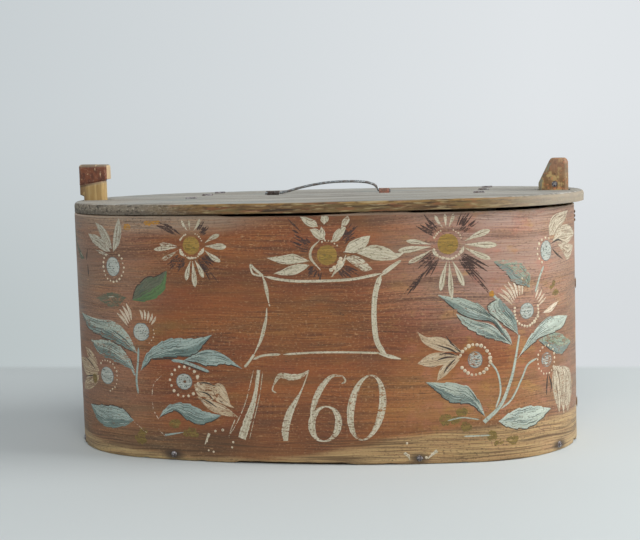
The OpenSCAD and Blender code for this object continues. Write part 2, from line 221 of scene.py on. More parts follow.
def makeBendTree():
    # Bends work laid out flat, with X along the board, -Y out of its face and Z up, round the oval.
    tree, put = newPieceTree("bendRoundOval", [
        ("Geometry", 'Geometry'), ("Side Radius", 'Float'), ("Side Centre", 'Float'), ("End Radius", 'Float'),
        ("End Centre", 'Float'), ("Half Side", 'Float'), ("Half Round", 'Float'), ("Meet Turn", 'Float'),
        ("Wave", 'Float'), ("Material", 'Material')])
    place = addNode(tree, 'GeometryNodeInputPosition')
    kept = addNode(tree, 'GeometryNodeStoreNamedAttribute',
                   {"Geometry": put["Geometry"], "Name": "board", "Value": place},
                   data_type='FLOAT_VECTOR', domain='POINT')
    flat = addNode(tree, 'ShaderNodeSeparateXYZ', [place], None).outputs
    drawn = addNode(tree, vectorNode, [place, (9, 0, 34)], operation='MULTIPLY')
    waver = addNode(tree, noiseNode, {"Vector": drawn, "Scale": 1.0, "Detail": 1.0})
    inward = addNode(tree, mathNode, [waver, put["Wave"]], operation='MULTIPLY')
    outward = addNode(tree, mathNode, [flat[1], -1.0], operation='MULTIPLY')
    out = addNode(tree, mathNode, [outward, inward], operation='SUBTRACT')
    far = addNode(tree, mathNode, [flat[0]], operation='ABSOLUTE')
    rest = addNode(tree, mathNode, [put["Half Round"], far], operation='SUBTRACT')
    near = addNode(tree, mathNode, [far, rest], operation='MINIMUM')
    behind = addNode(tree, mathNode, [far, rest], operation='GREATER_THAN')
    onSide = addNode(tree, mathNode, [near, put["Half Side"]], operation='LESS_THAN')
    sideTurn = addNode(tree, mathNode, [near, put["Side Radius"]], operation='DIVIDE')
    past = addNode(tree, mathNode, [near, put["Half Side"]], operation='SUBTRACT')
    endTurn = addNode(tree, mathNode, [past, put["End Radius"]], operation='DIVIDE')
    endTurn = addNode(tree, mathNode, [endTurn, put["Meet Turn"]], operation='ADD')
    turn = addNode(tree, mixNode, {0: onSide, 2: endTurn, 3: sideTurn})
    radius = addNode(tree, mixNode, {0: onSide, 2: put["End Radius"], 3: put["Side Radius"]})
    radius = addNode(tree, mathNode, [radius, out], operation='ADD')
    sine = addNode(tree, mathNode, [turn], operation='SINE')
    cosine = addNode(tree, mathNode, [turn], operation='COSINE')
    across = addNode(tree, mathNode, [radius, sine], operation='MULTIPLY')
    shift = addNode(tree, mixNode, {0: onSide, 2: put["End Centre"], 3: 0.0})
    across = addNode(tree, mathNode, [across, shift], operation='ADD')
    side = addNode(tree, mathNode, [flat[0]], operation='SIGN')
    across = addNode(tree, mathNode, [across, side], operation='MULTIPLY')
    depth = addNode(tree, mathNode, [radius, cosine], operation='MULTIPLY')
    centre = addNode(tree, mathNode, [onSide, put["Side Centre"]], operation='MULTIPLY')
    depth = addNode(tree, mathNode, [depth, centre], operation='SUBTRACT')
    flip = addNode(tree, mathNode, [behind, 2.0, -1.0], operation='MULTIPLY_ADD')
    depth = addNode(tree, mathNode, [depth, flip], operation='MULTIPLY')
    bent = addNode(tree, 'ShaderNodeCombineXYZ', [across, depth, flat[2]])
    moved = addNode(tree, 'GeometryNodeSetPosition', {"Geometry": kept, "Position": bent})
    return endPieceTree(tree, moved, put["Material"])


def makeScatterTree():
    # Sets a copy of a small piece on each point, with the point's own size and some chance in size and turn.
    tree, put = newPieceTree("setOnPoints", [
        ("Geometry", 'Geometry'), ("Piece", 'Object'), ("Spread", 'Float'), ("Turn", 'Float'), ("Seed", 'Int'),
        ("Material", 'Material')])
    small = addNode(tree, 'GeometryNodeObjectInfo', {"Object": put["Piece"]}, "Geometry")
    size = addNode(tree, 'GeometryNodeInputNamedAttribute', {"Name": "size"}, data_type='FLOAT')
    lower = addNode(tree, mathNode, [1.0, put["Spread"]], operation='SUBTRACT')
    upper = addNode(tree, mathNode, [1.0, put["Spread"]], operation='ADD')
    chance = addNode(tree, 'FunctionNodeRandomValue', {2: lower, 3: upper, "Seed": put["Seed"]}, 1,
                     data_type='FLOAT')
    scale = addNode(tree, mathNode, [size, chance], operation='MULTIPLY')
    back = addNode(tree, mathNode, [put["Turn"], -1.0], operation='MULTIPLY')
    angle = addNode(tree, 'FunctionNodeRandomValue', {2: back, 3: put["Turn"], "Seed": put["Seed"]}, 1,
                    data_type='FLOAT')
    spin = addNode(tree, 'ShaderNodeCombineXYZ', {1: angle})
    laid = addNode(tree, 'GeometryNodeInstanceOnPoints',
                   {"Points": put["Geometry"], "Instance": small, "Scale": scale, "Rotation": spin})
    return endPieceTree(tree, laid, put["Material"])


def makeTubeTree():
    # Draws a round wire or root along a line of points.
    tree, put = newPieceTree("drawTube", [
        ("Geometry", 'Geometry'), ("Radius", 'Float'), ("Sides", 'Int'), ("Material", 'Material')])
    line = addNode(tree, 'GeometryNodeMeshToCurve', {"Mesh": put["Geometry"]})
    ring = addNode(tree, 'GeometryNodeCurvePrimitiveCircle',
                   {"Resolution": put["Sides"], "Radius": put["Radius"]}, mode='RADIUS')
    tube = addNode(tree, 'GeometryNodeCurveToMesh', {"Curve": line, "Profile Curve": ring, "Fill Caps": True})
    return endPieceTree(tree, tube, put["Material"])


bendTree = makeBendTree()
scatterTree = makeScatterTree()
tubeTree = makeTubeTree()


def bendPiece(piece, material):
    runTree(piece, bendTree, {
        "Side Radius": sideRadius, "Side Centre": sideCentre, "End Radius": endRadius, "End Centre": endCentre,
        "Half Side": halfSide, "Half Round": halfRound, "Meet Turn": meetTurn, "Wave": outline["wave"],
        "Material": material})
    return makePlain(piece)


print("node trees made")


# Materials

def newMaterial(name, roughness, specular=0.5, metallic=0.0):
    material = bpy.data.materials.new(name)
    material.use_nodes = True
    tree = material.node_tree
    tree.nodes.clear()
    shader = addNode(tree, 'ShaderNodeBsdfPrincipled',
                     {"Roughness": roughness, "Metallic": metallic, "Specular IOR Level": specular}, None)
    addNode(tree, 'ShaderNodeOutputMaterial', {"Surface": shader.outputs[0]}, None)
    return material, tree, shader.inputs


def drawnNoise(tree, place, stretch, detail=4.0):
    # cloudy pattern drawn out each way by its turns per metre
    drawn = addNode(tree, vectorNode, [place, stretch], operation='MULTIPLY')
    return addNode(tree, noiseNode, {"Vector": drawn, "Scale": 1.0, "Detail": detail, "Roughness": 0.6})


def layZone(tree, base, value, low, high, most, colour, breakUp=None):
    # a colour laid over one stretch of the piece, broken up by a pattern if one is given
    amount = addNode(tree, rangeNode, [value, low, high, 0.0, most], **eased)
    if breakUp is not None:
        amount = addNode(tree, mathNode, [amount, breakUp], operation='MULTIPLY')
    return addNode(tree, mixNode, {0: amount, 6: base, 7: linear(colour)}, **asColour)


def layStain(tree, base, place, stretch, low, high, most, colour, breakUp=None):
    # a colour laid over the base where a drawn-out pattern passes from one level to another
    return layZone(tree, base, drawnNoise(tree, place, stretch), low, high, most, colour, breakUp)


def giveRelief(tree, inputs, height, distance, strength):
    tree.links.new(addNode(tree, 'ShaderNodeBump', {"Strength": strength, "Distance": distance, "Height": height}),
                   inputs["Normal"])


# Red-brown stain over bent softwood, rubbed and waxed by many hands: the grain runs round the box.
bandLook = {
    "base": "#96562a",
    "patches": [                                    # turns per metre, from level, to level, strength, colour
        ((9, 1, 26), 0.36, 0.62, 1.0, "#7e4423"),
        ((5, 1, 55), 0.47, 0.7, 0.75, "#6b4a28"),
        ((16, 30, 50), 0.52, 0.7, 0.5, "#8f4a30"),
        ((13, 20, 42), 0.54, 0.72, 0.55, "#7c6230"),
        ((24, 30, 70), 0.5, 0.75, 0.45, "#5a4836")],
    "grain": [                                      # growth rings 5 mm apart, and fibres drawn about 1 mm apart
        ((3, 1, 200), 0.5, 0.36, 0.5, "#43291a"),
        ((8, 1, 600), 0.5, 0.34, 0.22, "#3d271a"),
        ((22, 1, 1500), 0.51, 0.36, 0.6, "#38231a"),
        ((22, 1, 1500), 0.52, 0.66, 0.3, "#c08a50"),
        ((70, 60, 1000), 0.59, 0.66, 0.65, "#2f1d14"),
        ((420, 420, 760), 0.52, 0.66, 0.6, "#432a1b"),
        ((50, 60, 2600), 0.56, 0.7, 0.4, "#c49a6c"),
        ((470, 470, 800), 0.53, 0.68, 0.5, "#bd946c")],
    "lightAndSmokeZones": [                                      # mm along and up, reach each way, strength, colour
        ((95, 40), (85, 55), 0.5, "#a97238"),       # painted light: brighter towards the lower right, where the light falls
        # painted sheen at the upper right
        ((155, 150), (120, 75), 0.68, "#c1a79a"),
        ((150, 40), (95, 45), 0.35, "#b18b60"),    # painted light, warmer at the lower right
        # painted sheen at the left, and along the top on both sides
        ((-165, 140), (80, 75), 0.55, "#9c8877"),
        ((-160, 78), (55, 50), 0.35, "#94817a"),
        ((-150, 42), (60, 40), 0.4, "#8f7c66"),
        ((-110, 184), (120, 16), 0.85, "#ae9f8a"),
        ((150, 183), (110, 12), 0.5, "#c2ada0"),
        ((10, 108), (70, 30), 0.35, "#7a5a26"), ((92, 62), (30, 45), 0.4, "#ab7345"), ((-72, 150), (26, 30), 0.4, "#6d4521"),
        ((0, 140), (170, 10), 0.35, "#4a3322"),
        ((-125, 2), (135, 30), 0.7, "#70684c"),      # smoke and dirt low down
        ((20, 2), (100, 26), 0.5, "#5e4c33"),
        ((-10, 32), (75, 26), 0.4, "#4a3726"),
        ((-70, 16), (52, 18), 0.78, "#3b2c1f"),
        ((-122, 17), (28, 15), 0.55, "#3f362c")],
    # brown of the small dark pits, and of the painted shade under the lid along the rim
    "pitAndShadeBrown": "#4a3524",
    # greys of the painted glancing reflection at the two round ends
    "rightEndSheen": "#8f7f6c",
    "leftEndSheen": "#74644f",
    "bare": "#c5ab78",
    "lip": "#b79a66",
    # painted highlight along the rim's arris
    "rim": "#d2baa2",
    "rust": "#2b201a",
    "nails": [(-101, 4.5), (88, 4.5), (206, 4.5)],  # mm along the board and up, where rust has run
}


def awayFrom(tree, place, centre, reach):
    # distance from a place on the board, 1 at its reach: both are along and up, in mm
    offset = addNode(tree, vectorNode, [place, (centre[0] * mm, 0, centre[1] * mm)], operation='SUBTRACT')
    scale = (1 / (reach[0] * mm), 0, 1 / (reach[1] * mm))
    offset = addNode(tree, vectorNode, [offset, scale], operation='MULTIPLY')
    return addNode(tree, vectorNode, [offset], "Value", operation='LENGTH')


def makeBoardGroup():
    # a node group, so that paint and board show one and the same wood
    tree = bpy.data.node_groups.new("stainedBoard", 'ShaderNodeTree')
    for name, kind in (("Color", 'Color'), ("Roughness", 'Float'), ("Height", 'Float'), ("Wear", 'Float')):
        tree.interface.new_socket(name, in_out='OUTPUT', socket_type='NodeSocket' + kind)
    look = bandLook
    place = addNode(tree, 'ShaderNodeAttribute', out="Vector", attribute_name="board")
    split = addNode(tree, 'ShaderNodeSeparateXYZ', [place], None).outputs
    along, up = split[0], split[2]
    drift = drawnNoise(tree, place, (7, 1, 26), 2.0)       # growth rings wander up and down a little
    warped = addNode(tree, mathNode, [drift, 14 * mm, up], operation='MULTIPLY_ADD')
    lines = addNode(tree, 'ShaderNodeCombineXYZ', {0: along, 2: warped})
    patch = drawnNoise(tree, place, (11, 1, 30))
    fine = drawnNoise(tree, lines, (22, 1, 1250), 3.0)
    hair = drawnNoise(tree, place, (40, 400, 2600), 2.0)

    base = linear(look["base"])
    for layer in look["patches"]:
        base = layStain(tree, base, place, *layer)

    # painted shade under the lid along the rim, painted sheen and light and smoke in zones, and greyer towards the two
    # round ends, a painted glancing reflection
    ragged = addNode(tree, mathNode, [patch, 12 * mm, up], operation='MULTIPLY_ADD')
    base = layZone(tree, base, ragged, 180 * mm, 193 * mm, 0.15, look["pitAndShadeBrown"])
    streak = addNode(tree, rangeNode, [fine, 0.3, 0.7, 0.45, 1.0], **eased)
    for centre, reach, most, colour in look["lightAndSmokeZones"]:
        base = layZone(tree, base, awayFrom(tree, place, centre, reach), 1.0, 0.25, most, colour, streak)
    east = addNode(tree, rangeNode, [along, 30 * mm, 130 * mm, 0.0, 1.0], **eased)      # stain mottled by handling
    base = layStain(tree, base, place, (44, 40, 85), 0.5, 0.66, 0.5, "#b4705a", east)
    base = layStain(tree, base, place, (33, 30, 66), 0.54, 0.68, 0.5, "#b58a45", east)
    # painted glancing reflection: greyer towards the two round ends
    base = layZone(tree, base, along, 150 * mm, 235 * mm, 0.65, look["rightEndSheen"], streak)
    base = layZone(tree, base, along, -130 * mm, -215 * mm, 0.5, look["leftEndSheen"], streak)

    # bare wood along the lower edge, worn higher towards the right
    worn = drawnNoise(tree, lines, (6, 1, 60))
    ragged = addNode(tree, mathNode, [worn, 16 * mm, up], operation='MULTIPLY_ADD')
    rise = addNode(tree, rangeNode, [along, -40 * mm, 140 * mm, 12 * mm, 36 * mm], **eased)
    rise = addNode(tree, mathNode, [rise, addNode(tree, rangeNode, [along, -105 * mm, -190 * mm, 0.0, 9 * mm])])
    over = addNode(tree, mathNode, [ragged, rise], operation='SUBTRACT')
    base = layZone(tree, base, over, 2 * mm, -4 * mm, 0.8, look["bare"], streak)
    base = layZone(tree, base, up, 1.6 * mm, -0.2 * mm, 0.85, look["lip"])

    # the grain over all of it, stronger in some places than in others
    uneven = addNode(tree, rangeNode, [drawnNoise(tree, place, (12, 9, 22)), 0.36, 0.62, 0.35, 1.0], **eased)
    for layer in look["grain"]:
        base = layStain(tree, base, lines, *layer, uneven)

    # the arris of the rim, with a painted highlight along it
    drop = addNode(tree, rangeNode, [along, -halfRound / 2, halfRound / 2, 0.0, outline["rimDrop"]])
    rim = addNode(tree, mathNode, [up, drop])
    base = layZone(tree, base, rim, outline["height"] - 1.9 * mm, outline["height"] - 0.7 * mm, 0.75, look["rim"], streak)

    lined = addNode(tree, rangeNode, [up, 34 * mm, 14 * mm, 0.0, 1.0], **eased)      # deeper lines in the bare foot
    base = layStain(tree, base, lines, (11, 1, 620), 0.5, 0.4, 0.62, "#45331f", lined)

    # rust that has run round the nails in the foot
    for spot in look["nails"]:
        away = awayFrom(tree, place, spot, (16, 7.5))
        away = addNode(tree, mathNode, [worn, 0.7, away], operation='MULTIPLY_ADD')
        base = layZone(tree, base, away, 1.1, 0.5, 0.85, look["rust"])

    # small dark pits and pale rubbed flecks
    for stretch, reach, colour in (((150, 150, 260), 0.14, look["pitAndShadeBrown"]), ((55, 55, 240), 0.12, "#b78f63")):
        cells = addNode(tree, vectorNode, [place, stretch], operation='MULTIPLY')
        spots = addNode(tree, 'ShaderNodeTexVoronoi', {"Vector": cells, "Scale": 1.0})
        seldom = addNode(tree, rangeNode, [hair, 0.43, 0.58, 0.0, 0.85], **eased)
        base = layZone(tree, base, spots, reach, reach / 2, 1.0, colour, seldom)

    rings = drawnNoise(tree, lines, (14, 1, 1350))
    height = addNode(tree, mathNode, [rings, fine], operation='ADD')
    height = addNode(tree, mathNode, [hair, 0.5, height], operation='MULTIPLY_ADD')
    wear = addNode(tree, mixNode, {0: 0.5, 2: fine, 3: hair})
    polish = addNode(tree, rangeNode, [patch, 0.3, 0.7, 0.42, 0.6], **eased)
    addNode(tree, 'NodeGroupOutput', {"Color": base, "Roughness": polish, "Height": height, "Wear": wear}, None)
    return tree


boardGroup = makeBoardGroup()


def boardMaterial():
    # stained softwood: dark even grain under a thin waxy gloss
    material, tree, inputs = newMaterial("stainedBentwood", 0.5, 0.45)
    wood = addNode(tree, 'ShaderNodeGroup', out=None, node_tree=boardGroup).outputs
    tree.links.new(wood["Color"], inputs["Base Color"])
    tree.links.new(wood["Roughness"], inputs["Roughness"])
    giveRelief(tree, inputs, wood["Height"], 0.25 * mm, 0.5)
    return material


def paintMaterial(name, light, shade, keep):
    # Hand-ground paint, brushed thin: dry streaks along the stroke, worn through on the ridges of the grain so that
    # the wood shows in it. keep is how much of the paint is left, from 0 to 1.
    material, tree, inputs = newMaterial(name, 0.58, 0.35)
    wood = addNode(tree, 'ShaderNodeGroup', out=None, node_tree=boardGroup).outputs
    place = addNode(tree, 'ShaderNodeAttribute', out="Vector", attribute_name="board")
    stroke = addNode(tree, 'ShaderNodeAttribute', out="Vector", attribute_name="stroke")
    thin = addNode(tree, 'ShaderNodeSeparateXYZ', [stroke], 2)
    bristle = drawnNoise(tree, stroke, (45, 950, 60), 3.0)        # brush hairs about 1 mm apart
    cloud = drawnNoise(tree, place, (220, 220, 260))
    speck = drawnNoise(tree, place, (560, 560, 950), 2.0)
    paint = layZone(tree, linear(light), bristle, 0.6, 0.4, 0.8, shade)
    paint = layZone(tree, paint, cloud, 0.5, 0.7, 0.45, shade)
    paint = layZone(tree, paint, speck, 0.54, 0.66, 0.65, "#54483a")
    lost = addNode(tree, mixNode, {0: 0.35, 2: wood["Wear"], 3: speck})
    lost = addNode(tree, mathNode, [cloud, 0.35, lost], operation='MULTIPLY_ADD')
    lost = addNode(tree, mathNode, [thin, 0.25, lost], operation='MULTIPLY_ADD')
    limit = 0.6 + 0.3 * keep
    gone = addNode(tree, rangeNode, [lost, limit, limit + 0.07], **eased)
    colour = addNode(tree, mixNode, {0: gone, 6: paint, 7: wood["Color"]}, **asColour)
    tree.links.new(colour, inputs["Base Color"])
    height = addNode(tree, mathNode, [gone, -0.8, bristle], operation='MULTIPLY_ADD')
    giveRelief(tree, inputs, height, 0.08 * mm, 0.25)
    return material


def woodMaterial(name, light, dark, grey, deep, upright=False, roughness=0.62):
    # Bare or thinly stained solid wood, seen in Object space. Gives back the tree too, for what is laid over it.
    material, tree, inputs = newMaterial(name, roughness, 0.3)
    place = addNode(tree, 'ShaderNodeTexCoord', out="Object")
    stretch = (420, 420, 9) if upright else (9, 420, 420)
    finer = tuple(4 * value for value in stretch)
    base = layStain(tree, linear(dark), place, stretch, 0.35, 0.65, 1.0, light)
    base = layStain(tree, base, place, (55, 70, 60), 0.42, 0.7, 0.7, grey)
    base = layStain(tree, base, place, finer, 0.5, 0.28, 0.5, deep)
    giveRelief(tree, inputs, drawnNoise(tree, place, finer, 3.0), 0.25 * mm, 0.5)
    tree.links.new(base, inputs["Base Color"])
    return material, tree, inputs, place, base


def ironMaterial(name, light, dark, rust, metallic=0.85, roughness=0.5):
    # hand-forged iron: grey where it is rubbed, brown-black where it has rusted
    material, tree, inputs = newMaterial(name, roughness, 0.5, metallic)
    place = addNode(tree, 'ShaderNodeTexCoord', out="Object")
    grit = drawnNoise(tree, place, (900, 900, 900))
    cloud = drawnNoise(tree, place, (260, 260, 260))
    base = layZone(tree, linear(dark), grit, 0.35, 0.65, 1.0, light)
    base = layZone(tree, base, cloud, 0.46, 0.6, 0.8, rust)
    tree.links.new(base, inputs["Base Color"])
    rough = addNode(tree, rangeNode, [cloud, 0.4, 0.6, roughness - 0.12, roughness + 0.3], **eased)
    tree.links.new(rough, inputs["Roughness"])
    shine = addNode(tree, rangeNode, [cloud, 0.45, 0.6, metallic, 0.1], **eased)
    tree.links.new(shine, inputs["Metallic"])
    giveRelief(tree, inputs, grit, 0.2 * mm, 0.5)
    return material


print("materials ready")


# The bent board: a flat strip with its own section, closed into a ring behind and lapped over itself

bandShape = {
    "columns": 520,
    "rows": 60,
    "raised": (-52, 44, 1.5),                      # mm: the worn stretch of the foot, from, to and height
    "chips": [(-207, 5, 1.6), (-126, 3, 0.7), (-78, 4, 0.9), (66, 4, 0.8), (121, 3, 0.6), (236, 4, 3.0),
              (242, 3, 3.4), (-318, 6, 1.6), (350, 8, 1.4)],
    "rimDips": [(-62, 26, 0.9), (36, 90, -0.9), (105, 238, 0.3)],    # mm: stretches of the rim, and how far they dip
}


def footEdge(s):
    # height of the worn lower edge at a place along the board
    low, high, rise = bandShape["raised"]
    wander = noise.noise(Vector((s / (9 * mm), 3.1, 0))) * 0.5 + noise.noise(Vector((s / (2.5 * mm), 7.7, 0))) * 0.25
    level = 0.18 * mm + 0.22 * mm * wander
    step = smooth(low * mm, (low + 5) * mm, s) - smooth((high - 14) * mm, high * mm, s)
    level += step * (rise + 0.35 * wander) * mm
    for centre, half, deep in bandShape["chips"]:
        away = abs(s - centre * mm) / (half * mm)
        level += max(0, 1 - away ** 3) * deep * mm * 0.8
    return max(level, 0)


def rimEdge(s):
    # height of the rim, which falls away towards the fixed post
    across = (outlinePoint(s, 0)[0] + outline["length"] / 2) / outline["length"]
    level = outline["height"] - outline["rimDrop"] * across
    for low, high, deep in bandShape["rimDips"]:
        step = smooth(low * mm, (low + 14) * mm, s) - smooth((high - 10) * mm, high * mm, s)
        level -= max(step, 0) * deep * mm
    level = min(level, outline["height"])
    return level - 0.12 * mm * (1 + noise.noise(Vector((s / (12 * mm), 0, 5.5))))


def boardSection(low, high, thick, rows, skin=0.0):
    # points round the section of the board: out from its face, and up
    arris = [(0.14, 0.5), (0.5, 0.14), (1.1, 0.0)]
    low, high = low + 1.3 * mm, high - 1.3 * mm
    points = [(skin, low + (high - low) * row / rows) for row in range(rows + 1)]
    points += [(skin - out * mm, high + (1.3 - drop) * mm) for out, drop in arris]
    points += [(skin - thick + out * mm, high + (1.3 - drop) * mm) for out, drop in reversed(arris)]
    points += [(skin - thick, high - (high - low) * 2 * row / rows) for row in range(rows // 2 + 1)]
    points += [(skin - thick + out * mm, low - (1.3 - drop) * mm) for out, drop in arris]
    points += [(skin - out * mm, low - (1.3 - drop) * mm) for out, drop in reversed(arris)]
    return points


def makeBand():
    columns = bandShape["columns"]
    points = []
    for column in range(columns):
        s = -halfRound + 2 * halfRound * (column + 0.5) / columns
        section = boardSection(footEdge(s), rimEdge(s), outline["board"], bandShape["rows"])
        points += [(s, -out, up) for out, up in section]
    faces = ringFaces(columns, len(points) // columns, True)

    # the pared outer end of the board, lapped over the back
    first = len(points)
    start = halfRound - outline["lapLength"] / 2
    steps = 37
    for step in range(steps + 1):
        s = start + outline["lapLength"] * step / steps
        left = start + outline["lapLength"] - s
        skin = 0.35 * mm + (outline["lapBoard"] - 0.35 * mm) * smooth(0, outline["lapSkive"], left)
        over = min(s, 2 * halfRound - s)
        section = boardSection(footEdge(over), rimEdge(over) - 0.3 * mm, skin + 2.3 * mm, 24, skin)
        points += [(s, -out, up) for out, up in section]
    count = (len(points) - first) // (steps + 1)
    faces += ringFaces(steps + 1, count, False, first)
    faces.append(tuple(first + i for i in range(count)))
    faces.append(tuple(first + steps * count + i for i in reversed(range(count))))
    piece = bendPiece(meshObject("bentBoard", points, faces), boardMaterial())
    turnOutwards(piece)
    finishPiece(piece, "box", "painted_band", "side_band")


makeBand()
print("bent board made")


# Flower painting, laid out flat: mm along the board from the front's middle, and mm up

strokeShapes = {
    "leaf": lambda t: math.sin(math.pi * t ** 0.85) ** 0.8,
    "petal": lambda t: max(math.sin(math.pi * min(t, 0.998) ** 1.9), 0) ** 0.62 + 0.06,
    "line": lambda t: min(1, 14 * t + 0.1, 14 * (1 - t) + 0.1),
    "taper": lambda t: (1 - t) ** 0.6 + 0.02,
    "swell": lambda t: 0.22 + 0.78 * math.sin(math.pi * t) ** 1.2,
    "disc": lambda t: math.sqrt(max(0, 1 - (2 * t - 1) ** 2)) + 0.02,
}
chance = random.Random(7)
paints = {}           # the strokes of each paint, gathered before they are made
dots = []             # white dots: along, up, radius


def spots(text):
    # "along,up along,up" to points
    return [Vector([float(part) for part in pair.split(",")]) for pair in text.split()]


def curveThrough(knots, step):
    # stepped points on a smooth curve through the knots
    if len(knots) == 2:
        knots = [knots[0], (knots[0] + knots[1]) / 2, knots[1]]
    ends = [2 * knots[0] - knots[1]] + knots + [2 * knots[-1] - knots[-2]]
    route = []
    for a, b, c, d in zip(ends, ends[1:], ends[2:], ends[3:]):
        pieces = max(2, int((c - b).length / step))
        for i in range(pieces):
            t = i / pieces
            route.append(0.5 * (2 * b + (c - a) * t + (2 * a - 5 * b + 4 * c - d) * t ** 2
                                + (3 * b - a - 3 * c + d) * t ** 3))
    return route + [knots[-1]]


def evenly(route, count):
    # the same curve in evenly long steps
    runs = [0]
    for a, b in zip(route, route[1:]):
        runs.append(runs[-1] + (b - a).length)
    line, j = [], 0
    for i in range(count + 1):
        want = runs[-1] * i / count
        while j < len(runs) - 2 and runs[j + 1] < want:
            j += 1
        line.append(route[j].lerp(route[j + 1], (want - runs[j]) / max(runs[j + 1] - runs[j], 1e-6)))
    return line


def ribbon(paint, left, right, thin, lift):
    # a thin closed strip of paint between two lines of points, sunk in the board at its edges
    sheet = paints.setdefault(paint, {"points": [], "faces": [], "stroke": []})
    seed = chance.uniform(0, 99)
    lift = lift * 0.6 + chance.uniform(0, 0.02)
    first = len(sheet["points"])
    run, last = 0, None
    for a, b in zip(left, right):
        middle, half = (a + b) / 2, (a - b) / 2
        run += (middle - last).length if last else 0
        last = middle
        for share, out in ((1, -0.12), (0.94, lift), (0, lift), (-0.94, lift), (-1, -0.12)):
            spot = middle + half * share
            sheet["points"].append((spot.x * mm, -out * mm, spot.y * mm))
            sheet["stroke"].append((run * mm, (half.length * share + seed) * mm, thin))
    sheet["faces"] += ringFaces(len(left), 5, False, first)
    sheet["faces"].append(tuple(first + i for i in range(5)))
    sheet["faces"].append(tuple(first + 5 * (len(left) - 1) + i for i in reversed(range(5))))


def stroke(paint, shape, knots, wide, thin=0.0, lift=0.1, ragged=0.12):
    # one brush stroke along a curve, wide being its half width, or its widths to the left and the right
    route = curveThrough(spots(knots), 0.9) if isinstance(knots, str) else knots
    route = [spot for spot in route if spot.y < rimEdge(spot.x * mm) / mm - 0.8]      # nothing stands over the rim
    if len(route) < 3:
        return
    width = strokeShapes[shape] if isinstance(shape, str) else shape
    left, right = wide if isinstance(wide, tuple) else (wide, wide)
    seed = chance.uniform(0, 99)
    edges = ([], [])
    for i, here in enumerate(route):
        ahead = route[min(i + 1, len(route) - 1)] - route[max(i - 1, 0)]
        normal = Vector((-ahead.y, ahead.x)).normalized()
        for edge, side, reach in ((edges[0], 1, left), (edges[1], -1, right)):
            rag = 1 + ragged * noise.noise(Vector((i / 1.4, seed, side)))
            edge.append(here + normal * side * reach * rag * width(i / (len(route) - 1)))
    ribbon(paint, *edges, thin, lift)


def blade(paint, upper, lower, thin=0.0, teeth=(0, 0), shade=None, marks=5, outlined=0, tones=("earthLine", "palePaint")):
    # A leaf or petal between two drawn edges that share their ends. teeth counts the saw teeth of the upper and the
    # lower edge, shade is the paint of its darker half, marks counts the brush marks along it, in a dark and a light
    # paint, and outlined tells the edge with a dark line: 1 upper, -1 lower, 0 neither.
    dark, light = tones
    upper, lower = curveThrough(spots(upper), 0.6), curveThrough(spots(lower), 0.6)
    count = max(8, int(max(len(upper), len(lower)) * 0.55))
    upper, lower = evenly(upper, count), evenly(lower, count)
    for end, near in ((0, 1), (-1, -2)):
        apart = (upper[near] - lower[near]).normalized() * 0.06
        upper[end], lower[end] = upper[end] + apart, lower[end] - apart
    seed = chance.uniform(0, 99)
    edges = ([], [])
    for i, (a, b) in enumerate(zip(upper, lower)):
        t = i / count
        outward = (a - b).normalized()
        fade = math.sin(math.pi * t) ** 0.5 if 0 < t < 1 else 0
        for edge, spot, side, number in ((edges[0], a, 1, teeth[0]), (edges[1], b, -1, teeth[1])):
            push = 0.25 * noise.noise(Vector((i / 2.2, seed, side)))
            if number:
                push += 1.15 * (t * number % 1) - 0.35
            edge.append(spot + outward * side * push * fade)
    ribbon(paint, *edges, thin, 0.1)
    if shade:
        share = 0.42
        ribbon(shade, [b.lerp(a, share) for a, b in zip(*edges)][1:-1], edges[1][1:-1], thin, 0.12)
    if outlined:
        edge = edges[0 if outlined > 0 else 1]
        stroke("darkPaint", "line", edge[1:-1], (0.5, 0.3), 0.25 + thin / 2, 0.15)
    for i in range(marks):
        share = 0.12 + 0.76 * (i + chance.uniform(0.2, 0.8)) / marks
        drift = (share - 0.5) * chance.uniform(0.0, 0.5)
        start = int(count * chance.uniform(0.06, 0.6))
        end = min(count - 1, start + max(3, int(count * chance.uniform(0.18, 0.4))))
        line = [b.lerp(a, share + drift * k / count) for k, (a, b) in enumerate(zip(*edges))][start:end]
        if len(line) > 2:
            tone = light if i % 3 == 1 else dark
            stroke(tone, "swell", line, chance.uniform(0.14, 0.28), 0.0, 0.18)


def polar(centre, angle, radius):
    return Vector((centre[0] + radius * math.cos(math.radians(angle)),
                   centre[1] + radius * math.sin(math.radians(angle))))


def disc(paint, centre, across, high, thin=0.0, lift=0.12, ragged=0.06):
    ends = [Vector((centre[0] - across, centre[1])), Vector((centre[0] + across, centre[1]))]
    stroke(paint, "disc", curveThrough(ends, 0.5), high, thin, lift, ragged)


def dotArc(centre, across, high, start, end, count, size=0.75):
    # white dots along part of an oval, from one angle to another
    for i in range(count):
        angle = math.radians(start + (end - start) * i / max(count - 1, 1))
        reach = 1 + chance.uniform(-0.03, 0.03)
        dots.append((centre[0] + across * reach * math.cos(angle), centre[1] + high * reach * math.sin(angle),
                     size * chance.uniform(0.75, 1.2)))


def petals(paint, centre, inner, tips, shape="petal"):
    # petals in a bunch: each runs from near the disc to its own tip, given from the centre, with width and wear
    middle = sum((Vector(tip[:2]).normalized() for tip in tips), Vector((0, 0)))
    bunch = math.degrees(math.atan2(middle.y, middle.x))
    for x, y, wide, thin in tips:
        angle = math.degrees(math.atan2(y, x))
        away = (angle - bunch + 180) % 360 - 180
        start = polar(centre, bunch + 0.6 * away, inner)
        end = Vector((centre[0] + x, centre[1] + y))
        bow = (start + end) / 2 + Vector((y, -x)).normalized() * -0.03 * away
        line = curveThrough([start, bow, end], 0.9)
        stroke(paint, shape, line, wide * 0.88, thin)
        if wide > 1.5:
            side = Vector((y, -x)).normalized() * chance.uniform(-0.5, 0.5)
            stroke("earthLine", "swell", [spot + side for spot in line[len(line) // 3:-3]], 0.22, 0.0, 0.16)


